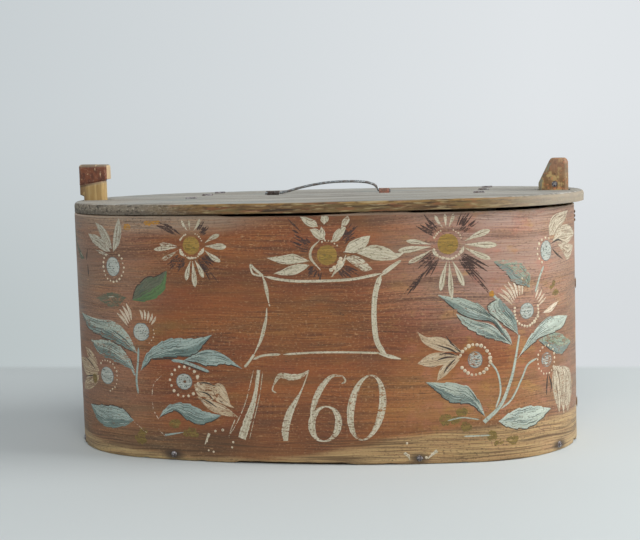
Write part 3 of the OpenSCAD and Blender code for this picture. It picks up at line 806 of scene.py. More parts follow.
def rays(centre, angle, spread, inner, outer, count):
    # a soft bundle of thin dark strokes
    for i in range(count):
        turn = angle + spread * (2 * i / max(count - 1, 1) - 1) + chance.uniform(-1.5, 1.5)
        long = outer * chance.uniform(0.72, 1.08)
        start = inner + chance.uniform(0, 3)
        line = curveThrough([polar(centre, turn, start), polar(centre, turn + chance.uniform(-2, 3), long)], 0.9)
        stroke("rayPaint", "swell", line, chance.uniform(0.5, 1.0), chance.uniform(0.0, 0.45), 0.04, 0.4)


def eyeFlower(centre, across, high, ringAcross, ringHigh, count, start=0, end=345, size=0.85, thin=0.0):
    # a small blue disc in a ring of white dots
    disc("edgeGrey", centre, across + 0.5, high + 0.4, 0.3, 0.08)
    disc("discPaint", centre, across, high, thin)
    for i in range(22):
        spot = polar(centre, chance.uniform(0, 360), across * 0.85 * math.sqrt(chance.random()))
        disc("paleVein" if i % 2 else "veinDark", spot, chance.uniform(0.35, 0.8), chance.uniform(0.25, 0.5), 0, 0.16)
    dotArc(centre, ringAcross, ringHigh, start, end, count, size)


def crown(centre, angles, inner, outer, width=0.7):
    # short pale dashes that fan out over a disc
    for angle in angles:
        a, b = polar(centre, angle, inner), polar(centre, angle + math.copysign(7, 90 - angle), outer)
        line = curveThrough([a, (a + b) / 2 + Vector((0.7, 0.5)), b], 0.9)
        stroke("petalPaint", "swell", line, width, 0.1)


def paintDaisies():
    # three ochre-eyed daisies with white petals in bunches and dark rays between the bunches
    left, right, middle = (-80, 164), (112, 162), (24, 156)
    for centre, eye in ((left, 6.8), (right, 7.6), (middle, 7.4)):
        disc("ochrePaint", centre, eye, eye)
        for i in range(3):
            disc("ochreDark", (centre[0] + 2.4 * i - 3, centre[1] + chance.uniform(-3, 3)), 2.2, 1.2, 0, 0.15, 0.5)
    for tips in (((23, 8, 1.9, 0.2), (28, -1, 2.7, 0.0), (23, -12, 2.2, 0.1)),
                 ((-26, 1, 1.7, 0.45), (-31, -3, 1.9, 0.3), (-25, -11, 1.7, 0.5)),
                 ((-5, -26, 2.1, 0.05), (2, -31, 2.3, 0.0), (9, -24, 2.1, 0.1)),
                 ((-7, 19, 1.1, 0.3), (-1, 19, 0.8, 0.4), (8, 20, 1.3, 0.25))):
        petals("whitePaint", left, 11.5, tips)
    for tips in (((31, 9, 2.5, 0.1), (36, -2, 2.6, 0.0), (31, -12, 2.3, 0.1)),
                 ((-30, 3, 1.9, 0.15), (-36, -4, 2.5, 0.1), (-29, -13, 1.8, 0.35)),
                 ((-6, -34, 2.2, 0.1), (2, -40, 2.1, 0.05), (11, -31, 2.2, 0.1)),
                 ((-9, 21, 1.3, 0.3), (-2, 25, 1.2, 0.3), (5, 24, 1.4, 0.35))):
        petals("whitePaint", right, 12.5, tips)
    for centre, bundles in (
            (left, ((-48, 15, 11, 27, 10), (229, 16, 11, 24, 9), (52, 13, 11, 21, 8), (-58, 1, 12, 41, 2))),
            (right, ((-44, 15, 12, 34, 11), (-52, 3, 14, 50, 3), (222, 17, 12, 31, 12), (229, 2, 26, 54, 4),
                     (48, 14, 12, 26, 8), (56, 2, 14, 37, 2), (136, 14, 12, 28, 10))),
            (middle, ((44, 12, 14, 29, 10), (155, 13, 13, 27, 10), (140, 2, 24, 42, 2), (232, 18, 12, 21, 9),
                      (318, 13, 13, 26, 10)))):
        for bundle in bundles:
            rays(centre, *bundle)
    for upper, lower, thin in (
            ("11,152 5,155 -1,157.5 -10,156 -21,154.5", "11,152 4,150.5 -6,149.5 -13,151 -21,154.5", 0.0),
            ("11,149 4,150 -4,148.5 -10,145.5 -16,143", "11,149 7,145.5 0,142 -8,141.5 -16,143", 0.05),
            ("37,158 39,163 42,166 50,169 56,169.5", "37,158 44,157 50,159 54,163.5 56,169.5", 0.05),
            ("46,157 55,162.5 62,162.5 69,160 74,156.5 81,157", "46,157 54,153.5 59,151.5 66,151 74,152 81,157", 0.0),
            ("37,154 44,155.5 49,153.5 53,150 57,145", "37,154 41,150 46,146.5 51,143.5 57,145", 0.4),
            ("28,166 29,171 32,174.5 37,176.5 38.5,175.5", "28,166 32,166 36,170 38.5,175.5", 0.1),
            ("35,176 36,181 40,184.5", "35,176 39,177.5 41.5,181.5 40,184.5", 0.35),
            ("23,167 22,171.5 17,175.5 12,175", "23,167 18,167.5 14.5,170.5 12,175", 0.05),
            ("18,177 16,181.5 10,184 5,184.5", "18,177 13,176.5 8,179.5 5,184.5", 0.1),
            ("21,167 18.5,172 20.5,177", "21,167 23.5,172 20.5,177", 0.0),
            ("22.5,178.5 20,181.5 21,185", "22.5,178.5 26,181.5 25.5,184.5 21,185", 0.1)):
        blade("whitePaint", upper, lower, thin, marks=3)
    for knots, wide in (("36,158 43,159 50,158", 0.6), ("19,167 13,161 12,154 19,145", 1.0),
                        ("38,156 35,149 30,144 27,140", 1.3)):
        stroke("whitePaint", "swell", knots, wide, 0.1)
    for centre, eye in ((left, 9.4), (right, 10.8)):
        for angle, spread, size in ((45, 22, 0.6), (135, 18, 0.7), (225, 24, 1.0), (315, 24, 1.0), (270, 14, 0.9)):
            dotArc(centre, eye, eye, angle - spread, angle + spread, 5, size)
        for angles in ((196, 214, 232), (350, 334, 320)):
            arc = curveThrough([polar(centre, angle, eye * 1.08) for angle in angles], 0.9)
            stroke("whitePaint", "swell", arc, 1.1)
    dotArc(middle, 10.5, 11, 285, 345, 5, 1.6)
    dotArc(middle, 10, 10.5, 40, 110, 6, 0.7)
    stroke("rayPaint", "swell", "-108,179 -100,176.5 -92,172", 1.7, 0.2, 0.05, 0.5)
    stroke("rayPaint", "swell", "-106,181.5 -97,178 -88,172", 1.1, 0.3, 0.05, 0.5)


def paintFrame():
    # an open cartouche of white brush lines with looped corners
    for knots, wide in (
            ("-24,141 -8,138 10,137 41,138 64,142", 1.0), ("64,142 71,147 78,151", 1.0), ("62,140 68,143 78,151", 0.6),
            ("-24,141 -30,146 -34,150", 1.0), ("-34,150 -32,143 -25,141", 0.7), ("-25,142 -22.5,134 -20.5,121", 1.35),
            ("-22.2,117.5 -23.4,108 -27.5,94 -33,83", 1.35), ("-33,83 -37,77.5 -41,73", 1.0),
            ("63,141 59,129 57.5,118 57.4,103 59,92 62.9,84.6 66,82", 2.0),
            ("60,83 68.6,80.6 76,78.7", 1.45), ("-34,79 -26,82 -13,83", 0.9),
            ("-11,82.8 4,83.9 20,84.4 42,84.2 62,83.4", 0.75), ("-20.5,120.5 -19.8,118.6", 0.5)):
        stroke("whitePaint", "swell" if wide in (1.35, 1.45) else "line", knots, wide, 0.1)


def penned(knots, thickest, profile, thin=0.35):
    # a penned stroke whose thickness follows its own profile
    stroke("whitePaint", profile, knots, thickest, thin, 0.1, 0.2)


def loopStroke(centre, across, high, slant, thinnest, thickest):
    # a penned loop, thick at its two sides and thin at top and bottom
    line = []
    for i in range(49):
        angle = math.radians(360 * i / 48)
        up = high * math.sin(angle)
        line.append(Vector((centre[0] + across * math.cos(angle) + slant * up, centre[1] + up)))
    penned(line, thickest, lambda t: (thinnest + (thickest - thinnest) * abs(math.cos(math.tau * t)) ** 1.6) / thickest)


def paintNumerals():
    # plain numerals, 1 7 6 0, with thick and thin pen strokes
    penned("-30,71 -34,50 -40,33 -45,19", 3.1, lambda t: 0.45 + 0.55 * smooth(0.25, 0.8, t), 0.22)
    for knots in ("-34,71 -41,47 -49,30 -56,20", "-27,70 -30,52 -36,30 -39,19", "-35,43 -37,32", "-37,45 -41,30"):
        stroke("whitePaint", "line", knots, 0.3, 0.45)
    penned("-19,60 -14,67 -6,66 2,67 8,71", 2.4, strokeShapes["swell"])
    penned("8,71 2,56 -7,40 -11,27 -11,18", 2.9,
           lambda t: 0.15 + 0.85 * smooth(0.2, 0.7, t) * (1 - 0.4 * smooth(0.85, 1, t)), 0.25)
    stroke("whitePaint", "line", "-19,60 -20,56 -17,54", 0.5, 0.2)
    loopStroke((19, 31), 10, 13, 0.1, 0.5, 2.7)
    penned("33,67 24,66 15,55 9.5,40 9.5,30", 2.3, lambda t: 0.16 + 0.84 * math.sin(math.pi * t) ** 1.3)
    stroke("whitePaint", "line", "33,67 35,63 32,61", 0.6, 0.1)
    loopStroke((50, 43), 11.5, 24, 0.16, 0.5, 2.8)
    for spot in spots("-66,24 -60,25 -53,12 -52,16 -73,16 -68,8 79,16 80,7 96,6 97,8 93,5 -72,9"):
        dots.append((spot.x, spot.y, chance.uniform(0.7, 1.2)))
    stroke("whitePaint", "taper", "-71,22 -75,13", 1.1, 0.2)
    stroke("whitePaint", "taper", "-50,33 -54,24 -55,19", 0.4, 0.4)
    stroke("whitePaint", "taper", "101,10 96,6 94,4", 1.3, 0.2)
    stroke("whitePaint", "taper", "77,9 80,6 81,3", 1.1, 0.2)


def paintLeftSpray():
    for upper, lower, thin, teeth, outlined in (
            ("-129,81 -137,96 -150,105 -172,106 -201,108", "-129,81 -148,88 -167,93 -185,97 -201,108", 0.35, (0, 6), -1),
            ("-132,68 -138,80 -151,89 -166,90 -182,88", "-132,68 -151,74 -169,78 -182,88", 0.38, (5, 5), 1),
            ("-127,68 -122,80 -113,88 -100,93.5 -79,94 -66,97", "-127,68 -121,73 -117,77 -105,79 -83,81 -75,87 -66,97",
             0.0, (9, 6), -1),
            ("-90,77 -79,83 -69,86 -58,83 -43,72", "-90,77 -80,76 -69,73.5 -55,75 -43,72", 0.0, (0, 5), -1),
            ("-135,29 -143,36 -151,38.5 -167,38 -188,36", "-135,29 -144,24 -162,21 -177,25 -188,36", 0.15, (4, 5), 1),
            ("-113,32 -104,42 -89,44.5 -75,39 -61,36", "-113,32 -99,38 -89,32 -80,28.5 -69,31 -61,36", 0.0, (7, 4), -1)):
        paint = "greyBluePaint" if thin > 0.3 else "bluePaint"
        blade(paint, upper, lower, thin, teeth, "blueShade", 22, outlined, ("veinDark", "paleVein"))
    blade("greenPaint", "-132,122 -128,131 -120,138.5 -109,141 -101,145", "-132,122 -121,121.5 -110,125 -103,132 -101,145",
          0.1, (3, 4), "greenTip", 9, 1, ("veinDark", "greenTip"))
    blade("greenPaint", "-137,124 -152,128 -171,122", "-137,124 -150,116 -171,122", 0.8, (0, 3), marks=2)
    stroke("bluePaint", "line", "-100,77 -88,75.5 -69,69", 1.2, 0.1)
    stroke("darkPaint", "line", "-117,77 -100,78 -88,73.5 -69,68", 0.6, 0.1, 0.05)
    stroke("bluePaint", "line", "-130,50 -131,61 -129,75 -128,86", 0.85, 0.1)
    stroke("bluePaint", "line", "-132,64 -136,71 -140,76", 0.9, 0.2)
    for knots in ("-109,65 -116,58 -118,49", "-118,46 -117,38 -113,31", "-114,24 -108,18", "-135,28 -124,20"):
        stroke("petalPaint", "line", knots, 0.32, 0.6)
    stroke("bluePaint", "taper", "-108,19 -92,22", 0.9, 0.2)

    eyeFlower((-149, 147.5), 6.4, 7.2, 10.6, 11.4, 17, 130, 410, 0.95)
    eyeFlower((-125, 98), 6.6, 6.8, 11, 10, 5, -55, 10, 0.5)
    eyeFlower((-161, 62), 7.2, 6.6, 11.5, 12.0, 14, -75, 130, 0.75)
    eyeFlower((-90, 61), 6.2, 5.9, 11.6, 11.6, 17, 20, 375, 1.1)
    disc("earthLine", (-89.5, 61), 1.3, 1.1, 0, 0.18, 0.5)
    for upper, lower, thin in (
            ("-149,161 -150,166 -152,172 -158,178 -167,181", "-149,161 -155,163 -161,170 -167,181", 0.1),
            ("-148,159 -148,166 -147,172 -145,178 -141,185", "-148,159 -143,163 -140,169 -139,177 -141,185", 0.1),
            ("-151,159 -154,164 -159,168.5 -167,171.5 -178,172", "-151,159 -157,159 -164,161.5 -172,165 -178,172", 0.15),
            ("-152,156 -160,159 -169,160", "-152,156 -160,156 -169,160", 0.45)):
        blade("petalGrey", upper, lower, thin, marks=5)
    crown((-126, 96), (150, 141, 132, 123), 13, 26, 1.3)
    crown((-124, 97), (88, 76, 64, 52, 40), 10.5, 18, 1.05)
    for upper, lower, thin in (
            ("-67,57 -63,60.5 -58,59 -55,52 -53,44", "-67,57 -67,50 -62,45.5 -53,44", 0.0),
            ("-80,50 -68,47 -57,43 -47,35", "-80,50 -70,40 -59,36 -47,35", 0.25),
            ("-82,59 -75,61.5 -67,60 -60,50", "-82,59 -80,52 -74,46 -60,50", 0.35),
            ("-63,48 -57,47.5 -50,42", "-63,48 -58,44 -50,42", 0.1)):
        blade("creamPaint", upper, lower, thin, marks=6)
    for upper, lower, thin in (
            ("-173,70 -176,75 -184,80 -195,81", "-173,70 -181,69 -189,73 -195,81", 0.3),
            ("-171,65 -176,70 -190,73 -214,70", "-171,65 -178,59 -196,58 -214,70", 0.25),
            ("-172,61 -181,61 -197,56 -203,46", "-172,61 -174,55 -187,48 -203,46", 0.3)):
        blade("creamWorn", upper, lower, thin, marks=8)
    for knots in ("-80,60 -72,60.5 -64,58", "-76,49 -70,46 -64,42", "-78,54 -71,52 -66,47", "-176,65 -185,70 -196,73",
                  "-176,61 -186,59 -198,57"):
        stroke("darkPaint", "swell", knots, 0.6, 0.1, 0.16)
    for along, up, wide, high in ((-99, 29, 5, 4.5), (-85, 22, 5, 4), (-129, 15, 5, 4), (-127, 20, 4, 3), (-88, 20, 4, 4)):
        for i in range(4):
            disc("mossPaint", (along + chance.uniform(-2.5, 2.5), up + chance.uniform(-2, 2)), wide * 0.75, high * 0.6,
                 0.25, 0.04, 0.7)
    disc("mossPaint", (-178, 58), 3.5, 4, 0, 0.2, 0.6)
    for along, up, wide, high in ((-115, 181, 4, 1.8), (-109, 181.5, 4.5, 1.6), (-134, 178, 3.4, 2.6)):
        disc("goldPaint", (along, up), wide, high, 0.3, 0.04, 0.8)
    blade("greenPaint", "-187,152 -195,157 -209,164", "-187,152 -197,152 -209,164", 0.4, marks=2)
    blade("greenPaint", "-206,160 -213,172 -217,182", "-206,160 -217,168 -217,182", 0.4, marks=2)
    for knots in ("-181,160 -184,151", "-182,148 -181,138"):
        stroke("darkPaint", "swell", knots, 0.9, 0.1, 0.05)


def paintRightSpray():
    for upper, lower, thin, teeth, outlined in (
            ("159,86 156,94 141,111 128,120 104,125", "159,86 150,96 143,104 132,106 120,111 104,125", 0.05, (5, 0), -1),
            ("158,86 154,92 143,102 132,105 117,111", "158,86 151,89 141,92 132,96 122,103 117,111", 0.1, (0, 7), -1),
            ("164,93 147,106 140,115 149,121", "164,93 162,106 155,115 149,121", 0.2, (3, 0), 1),
            ("137,34 134,43 127,54.5 117,59.5 94,61", "137,34 131,40 126,44 112,46 102,54 94,61", 0.0, (4, 7), -1)):
        blade("greyBluePaint", upper, lower, thin, teeth, "greyBlueShade", 22, outlined, ("veinDark", "paleVein"))
    for upper, lower, teeth in (
            ("163,75 174,90 185,99.5 199,103.5 221,101", "163,75 168,79 178,86 191,90 211,93 221,101", (3, 3)),
            ("147,30 160,37.5 177,38.5 195,34", "147,30 155,24.5 171,22.5 183,27 195,34", (5, 6))):
        blade("paleBluePaint", upper, lower, 0.05, teeth, "greyBluePaint", 22, -1, ("veinDark", "paleVein"))
    blade("greenPale", "175,127 175,137 167,146 156,149 145,148", "175,127 161,132 155,139 145,148", 0.4, (4, 6),
          "greyBlueShade", 14, -1, ("veinDark", "edgeGrey"))
    blade("greenPale", "182,87 195,91 207,89.5 229,80", "182,87 195,79 209,73 229,80", 0.3, (3, 6), "greyBlueShade", 9, -1, ("veinDark", "greenTip"))
    stroke("greyBluePaint", lambda t: 1 - 0.5 * t, "136,30 149,42 157,59 161,73 165,93", 1.6, 0.1)
    for knots, wide in (("149,39 158,46 167,61 172,70 181,74", 0.75), ("145,40 149,52 147,66 141,75", 0.7),
                        ("189,142 184,133 180,123", 0.9), ("142,127 146,122 150,118", 1.0), ("109,32 120,34 133,32", 0.45),
                        ("121,20 133,20 141,20", 0.5)):
        stroke("greyBluePaint", "line", knots, wide, 0.1)
    disc("goldPaint", (143.5, 124.5), 2.2, 2.4)

    eyeFlower((130.3, 76.5), 5.0, 5.9, 11.3, 11.0, 21, -150, 160, 1.25, 0.42)
    eyeFlower((172, 110), 5.8, 5.8, 10.8, 11.2, 17, 165, 375, 1.1)
    eyeFlower((191, 71.5), 5.2, 5.2, 9.6, 10.6, 19, 60, 400, 0.85, 0.5)
    eyeFlower((192, 153), 5.6, 7.4, 9.5, 9.5, 8, 70, 240, 0.95)
    crown((171, 110), (154, 146, 138, 130, 122, 113, 104), 13, 27, 1.0)
    crown((173, 110), (52, 40, 28, 18), 11, 20, 0.8)
    blade("petalPaint", "187,107 197,112 207,114", "187,107 197,107 207,114", 0.05, marks=2)
    for upper, lower in (
            ("122,82 118,85.5 111,92 103,94.5 95,94.5 88.5,98.5", "122,82 114,83 105,83.5 97,87 92,91 88.5,98.5"),
            ("120,79 113,82 107,83 99,82.5 93,79.5 88,75", "120,79 114,75 104,73 97,71.8 88,75"),
            ("119,77 115,77.5 110,76 104,70 102,62", "119,77 115,72 111,68 107,64.5 102,62")):
        blade("creamPaint", upper, lower, 0.0, marks=6)
    for upper, lower, thin in (
            ("199,66 197,54 199,42 206,29", "199,66 209,62 211,44 206,29", 0.25),
            ("206,65 206,50 208,38 213,27", "206,65 217,61 219,44 213,27", 0.3),
            ("213,64 213,50 215,36 220,27", "213,64 226,58 229,41 220,27", 0.25),
            ("196,164 195.5,171 199,177 207,180 225,181", "196,164 204,164.5 211,169.5 219,174 225,181", 0.15),
            ("200,160 207,167.5 217,171 230,169 245,162", "200,160 210,157.5 222,155.5 245,162", 0.2),
            ("206,157 222,156.5 240,153", "206,157 215,150 222,143.5 232,147 240,153", 0.3)):
        blade("goldCream", upper, lower, thin, marks=9)
    for knots in ("122,81 115,87 109,95", "119,80.5 112,85 103,88", "117,79 109,79 102,77", "116,78 110,72 107,67",
                  "117,80 110,82 104,81", "192,61 191,54 190,45", "193,60 196,52 195,46", "198,158 207,160 214,158",
                  "199,154 206,149 214,145"):
        stroke("darkPaint", "swell", knots, 0.75, 0.1, 0.16)
    for along, up, wide, high in ((108, 33, 5, 5.5), (121, 38, 5.5, 4), (122, 27, 5, 4.5), (142, 20, 3.5, 4.5), (115, 33, 4, 4),
                                  (158, 14, 5, 4), (147, 13, 3, 3), (203, 122, 4, 2.5), (199, 127, 3, 2.5)):
        for i in range(4):
            disc("mossPaint", (along + chance.uniform(-2, 2), up + chance.uniform(-2, 2)), wide * 0.7, high * 0.6,
                 0.25, 0.04, 0.7)


paintColours = {          # light tone, shade tone and how much of the paint is left
    "rayPaint": ("#4b362e", "#382a28", 0.52),
    "darkPaint": ("#33302c", "#453730", 0.55),
    "earthLine": ("#6e4a30", "#5a3b28", 1.3),
    "edgeGrey": ("#6f7d7c", "#5b6463", 0.6),
    "ochrePaint": ("#a3823f", "#7f642f", 0.62),
    "ochreDark": ("#6b5726", "#a88c40", 1.3),
    "mossPaint": ("#86703a", "#5a4a28", 0.54),
    "goldPaint": ("#b98330", "#94682a", 0.45),
    "greenPaint": ("#686b58", "#4f5443", 0.85),
    "greenPale": ("#98a692", "#6c7c6a", 0.5),
    "greenTip": ("#5f7a4c", "#4b6140", 0.9),
    "bluePaint": ("#a3b0a7", "#82938c", 0.58),
    "blueShade": ("#788a83", "#5c6d67", 0.56),
    "greyBluePaint": ("#b4bbac", "#8f9b8f", 0.58),
    "greyBlueShade": ("#85928a", "#66756d", 0.56),
    "paleBluePaint": ("#bec6b8", "#9ca69a", 0.58),
    "paleVein": ("#bcc5bb", "#a3b0a7", 1.3),
    "veinDark": ("#41504c", "#52625d", 1.3),
    "palePaint": ("#d5ccb6", "#beb199", 1.3),
    "discPaint": ("#b6b8ae", "#91968d", 0.52),
    "petalGrey": ("#bcb6a5", "#8f8774", 0.54),
    "petalPaint": ("#d6c8b2", "#b8a48b", 0.6),
    "creamPaint": ("#c9b496", "#a08a6c", 0.56),
    "creamWorn": ("#c4b090", "#8d745a", 0.55),
    "goldCream": ("#c6baa3", "#968973", 0.54),
    "whitePaint": ("#cdc4ad", "#a89e84", 0.6),
}
paintDaisies()
paintFrame()
paintNumerals()
paintLeftSpray()
paintRightSpray()
for paint, sheet in paints.items():
    piece = meshObject(paint, sheet["points"], sheet["faces"])
    keepAtPoints(piece, "stroke", 'FLOAT_VECTOR', sheet["stroke"])
    bendPiece(piece, paintMaterial(paint, *paintColours[paint]))
    turnOutwards(piece)
    piece.data.set_sharp_from_angle(angle=math.radians(20))
    finishPiece(piece, "box", "painted_band")
print("painting made:", len(paints), "paints,", len(dots), "dots")


def smallPiece(name, build):
    # a piece that a tree sets out many times: built once in bmesh, and thrown away after use
    work = bmesh.new()
    build(work)
    mesh = bpy.data.meshes.new(name)
    work.to_mesh(mesh)
    work.free()
    mesh.shade_smooth()
    piece = bpy.data.objects.new(name, mesh)
    scene.collection.objects.link(piece)
    return piece


def setOut(name, places, small, spread, turn, seed, material):
    # copies of a small piece on flat places (along, out, up, size), bent round the box with it
    piece = meshObject(name, [(s * mm, -out * mm, up * mm) for s, out, up, size in places], [])
    keepAtPoints(piece, "size", 'FLOAT', [size for s, out, up, size in places])
    runTree(piece, scatterTree, {"Piece": small, "Spread": spread, "Turn": turn, "Seed": seed, "Material": material})
    makePlain(piece)
    bendPiece(piece, material)
    bpy.data.objects.remove(small)
    return piece


def dabShape(work):
    # a drop of thick paint, 1 mm in radius and 0.2 mm high
    bmesh.ops.create_icosphere(work, subdivisions=2, radius=1 * mm)
    bmesh.ops.scale(work, vec=(1, 0.2, 1), verts=work.verts)


dabs = setOut("paintDots", [(s, 0.02, up, size) for s, up, size in dots], smallPiece("dab", dabShape), 0.15, 3.0, 4,
              paintMaterial("dotPaint", "#d9ccb2", "#b7a488", 0.8))
finishPiece(dabs, "box", "painted_band")


# Forged nails in the foot, with low square-cornered heads

nailPlaces = [-101, 88, 206, -212]                       # mm along the front; the back ones from the back's middle
backNailPlaces = [-95, 95, 206, -206]
nailIron = ironMaterial("forgedIron", "#a5a1a0", "#39333a", "#3a2419", 0.75, 0.4)


def nailShape(work):
    # a faceted head on a short shank that sinks in the board
    bmesh.ops.create_cone(work, cap_ends=True, segments=7, radius1=2.5 * mm, radius2=1.3 * mm, depth=1.0 * mm,
                          matrix=Matrix.Translation((0, -0.5 * mm, 0)) @ Matrix.Rotation(math.radians(90), 4, 'X'))
    bmesh.ops.create_cone(work, cap_ends=True, segments=8, radius1=1.1 * mm, radius2=1.1 * mm, depth=8 * mm,
                          matrix=Matrix.Translation((0, 3.9 * mm, 0)) @ Matrix.Rotation(math.radians(90), 4, 'X'))


places = [(s, 0, 4.5, 1) for s in nailPlaces]
places += [(math.copysign(halfRound / mm, s) - s, 0, 4.5, 1) for s in backNailPlaces]
nails = setOut("footNails", places, smallPiece("nail", nailShape), 0.06, 3.0, 9, nailIron)
nails.data.shade_flat()
turnOutwards(nails)
finishPiece(nails, "box", "nail_iron", "bottom_nails")


# Root stitches that hold the lap together at the back

seam = {"count": 11, "margin": 14, "half": 4, "rows": [25, -9], "gauge": 1.1}       # mm


def stitchShape(work):
    # a root that comes up out of its hole, lies along the board and goes down again
    steps, sides = 18, 8
    rings = []
    for i in range(steps + 1):
        t = i / steps * 2 - 1
        x = t * (seam["half"] - 0.4 * abs(t) ** 6)
        lift = 1.5 * (1 - abs(t) ** 5) - 1.4
        wide = seam["gauge"] * (1.15 - 0.2 * abs(t))
        ring = []
        for j in range(sides):
            angle = 2 * math.pi * j / sides
            ring.append(work.verts.new((x * mm, -(lift + 0.75 * wide * math.sin(angle)) * mm, wide * math.cos(angle) * mm)))
        rings.append(ring)
    for here, there in zip(rings, rings[1:]):
        for j in range(sides):
            work.faces.new((here[j], there[j], there[(j + 1) % sides], here[(j + 1) % sides]))
    work.faces.new(rings[0])
    work.faces.new(reversed(rings[-1]))


def lacingMaterial():
    # split root: brown, with its fibres along the stitch, polished by handling
    material, tree, inputs = newMaterial("splitRoot", 0.5, 0.4)
    place = addNode(tree, 'ShaderNodeTexCoord', out="Object")
    base = layStain(tree, linear("#6b5135"), place, (120, 120, 1500), 0.4, 0.6, 0.8, "#3f2f20")
    base = layStain(tree, base, place, (300, 300, 300), 0.5, 0.7, 0.5, "#8a7046")
    tree.links.new(base, inputs["Base Color"])
    giveRelief(tree, inputs, drawnNoise(tree, place, (120, 120, 1500)), 0.2 * mm, 0.5)
    return material


rootLook = lacingMaterial()
step = ((outline["height"] - outline["rimDrop"]) / mm - 2 * seam["margin"]) / (seam["count"] - 1)
places = []
for row in seam["rows"]:
    for i in range(seam["count"]):
        places.append((halfRound / mm - row, 2.4, seam["margin"] + i * step, 1))
stitches = setOut("seamStitches", places, smallPiece("stitch", stitchShape), 0.06, 0.12, 3, rootLook)
turnOutwards(stitches)
finishPiece(stitches, "box", "root", "seam_lacing")
print("nails and stitches set out")


# The lid: one weathered board with rounded arrises and a slot for each post

lid = {
    "columns": 300,
    "shares": [0.02, 0.1, 0.2, 0.32, 0.45, 0.58, 0.7, 0.8, 0.88, 0.94, 0.975],     # rings of points across each face
    "latchSlot": (-198.1, -170.9, -13.2, 1.2),     # mm: from and to along X, from and to along Y
    "fixedSlot": (172.6, 198.0, -4.2, 12.2),
    "wander": 0.35 * mm,
}


def makeLid():
    reach = highLid.y - halfWidth
    shift = (highLid.x + lowLid.x) / 2
    low, high = lowLid.z, highLid.z
    points = []

    def addRing(out, up, share=1.0):
        for column in range(lid["columns"]):
            s = -halfRound + 2 * halfRound * column / lid["columns"]
            loose = lid["wander"] * (0.5 + 0.5 * noise.noise(Vector((s / (22 * mm), up / (3 * mm), 1.7))))
            x, y = outlinePoint(s, reach + out - loose)
            dip = 0.0
            if share > 0.9 and up > (low + high) / 2:
                dip = 0.3 * mm * (0.5 + 0.5 * noise.noise(Vector((s / (35 * mm), 4.4, up * 100))))
            points.append((x * share + shift, y * share, up - dip))

    rings = [(-2.4 * mm, low, share) for share in lid["shares"]]
    rings += [(-out * mm, low + up * mm, 1.0) for out, up in ((2.4, 0), (0.25, 0), (0.05, 0.08), (0, 0.35), (0, 3.0))]
    rings += [(-out * mm, high - up * mm, 1.0) for out, up in ((0, 3.4), (0.1, 2.1), (0.5, 1.1), (1.2, 0.4), (2.4, 0))]
    rings += [(-2.4 * mm, high, share) for share in reversed(lid["shares"])]
    for out, up, share in rings:
        addRing(out, up, share)
    count = lid["columns"]
    faces = ringFaces(len(rings), count, False)
    faces.append(tuple(range(count)))
    faces.append(tuple((len(rings) - 1) * count + i for i in reversed(range(count))))
    piece = meshObject("lidBoard", points, faces)
    turnOutwards(piece)
    for x0, x1, y0, y1 in (lid["latchSlot"], lid["fixedSlot"]):
        work = bmesh.new()
        bmesh.ops.create_cube(work, size=1.0)
        bmesh.ops.scale(work, vec=((x1 - x0) * mm, (y1 - y0) * mm, 0.03), verts=work.verts)
        bmesh.ops.translate(work, vec=((x0 + x1) / 2 * mm, (y0 + y1) / 2 * mm, (low + high) / 2), verts=work.verts)
        mesh = bpy.data.meshes.new("slotCutter")
        work.to_mesh(mesh)
        work.free()
        cutter = bpy.data.objects.new("slotCutter", mesh)
        scene.collection.objects.link(cutter)
        cut = piece.modifiers.new("cut", 'BOOLEAN')
        cut.operation = 'DIFFERENCE'
        cut.solver = 'EXACT'
        cut.object = cutter
        makePlain(piece)
        bpy.data.objects.remove(cutter)
    piece.data.shade_smooth()
    piece.data.set_sharp_from_angle(angle=math.radians(42))
    rim = []
    for vertex in piece.data.vertices:
        away = outlineDistance(vertex.co.x - shift, vertex.co.y) - reach
        rim.append(smooth(-2.2 * mm, -0.5 * mm, away))
    keepAtPoints(piece, "rim", 'FLOAT', rim)
    piece.data.materials.clear()
    piece.data.materials.append(lidMaterial())
    finishPiece(piece, "lid", "lid_wood", "lid_board")


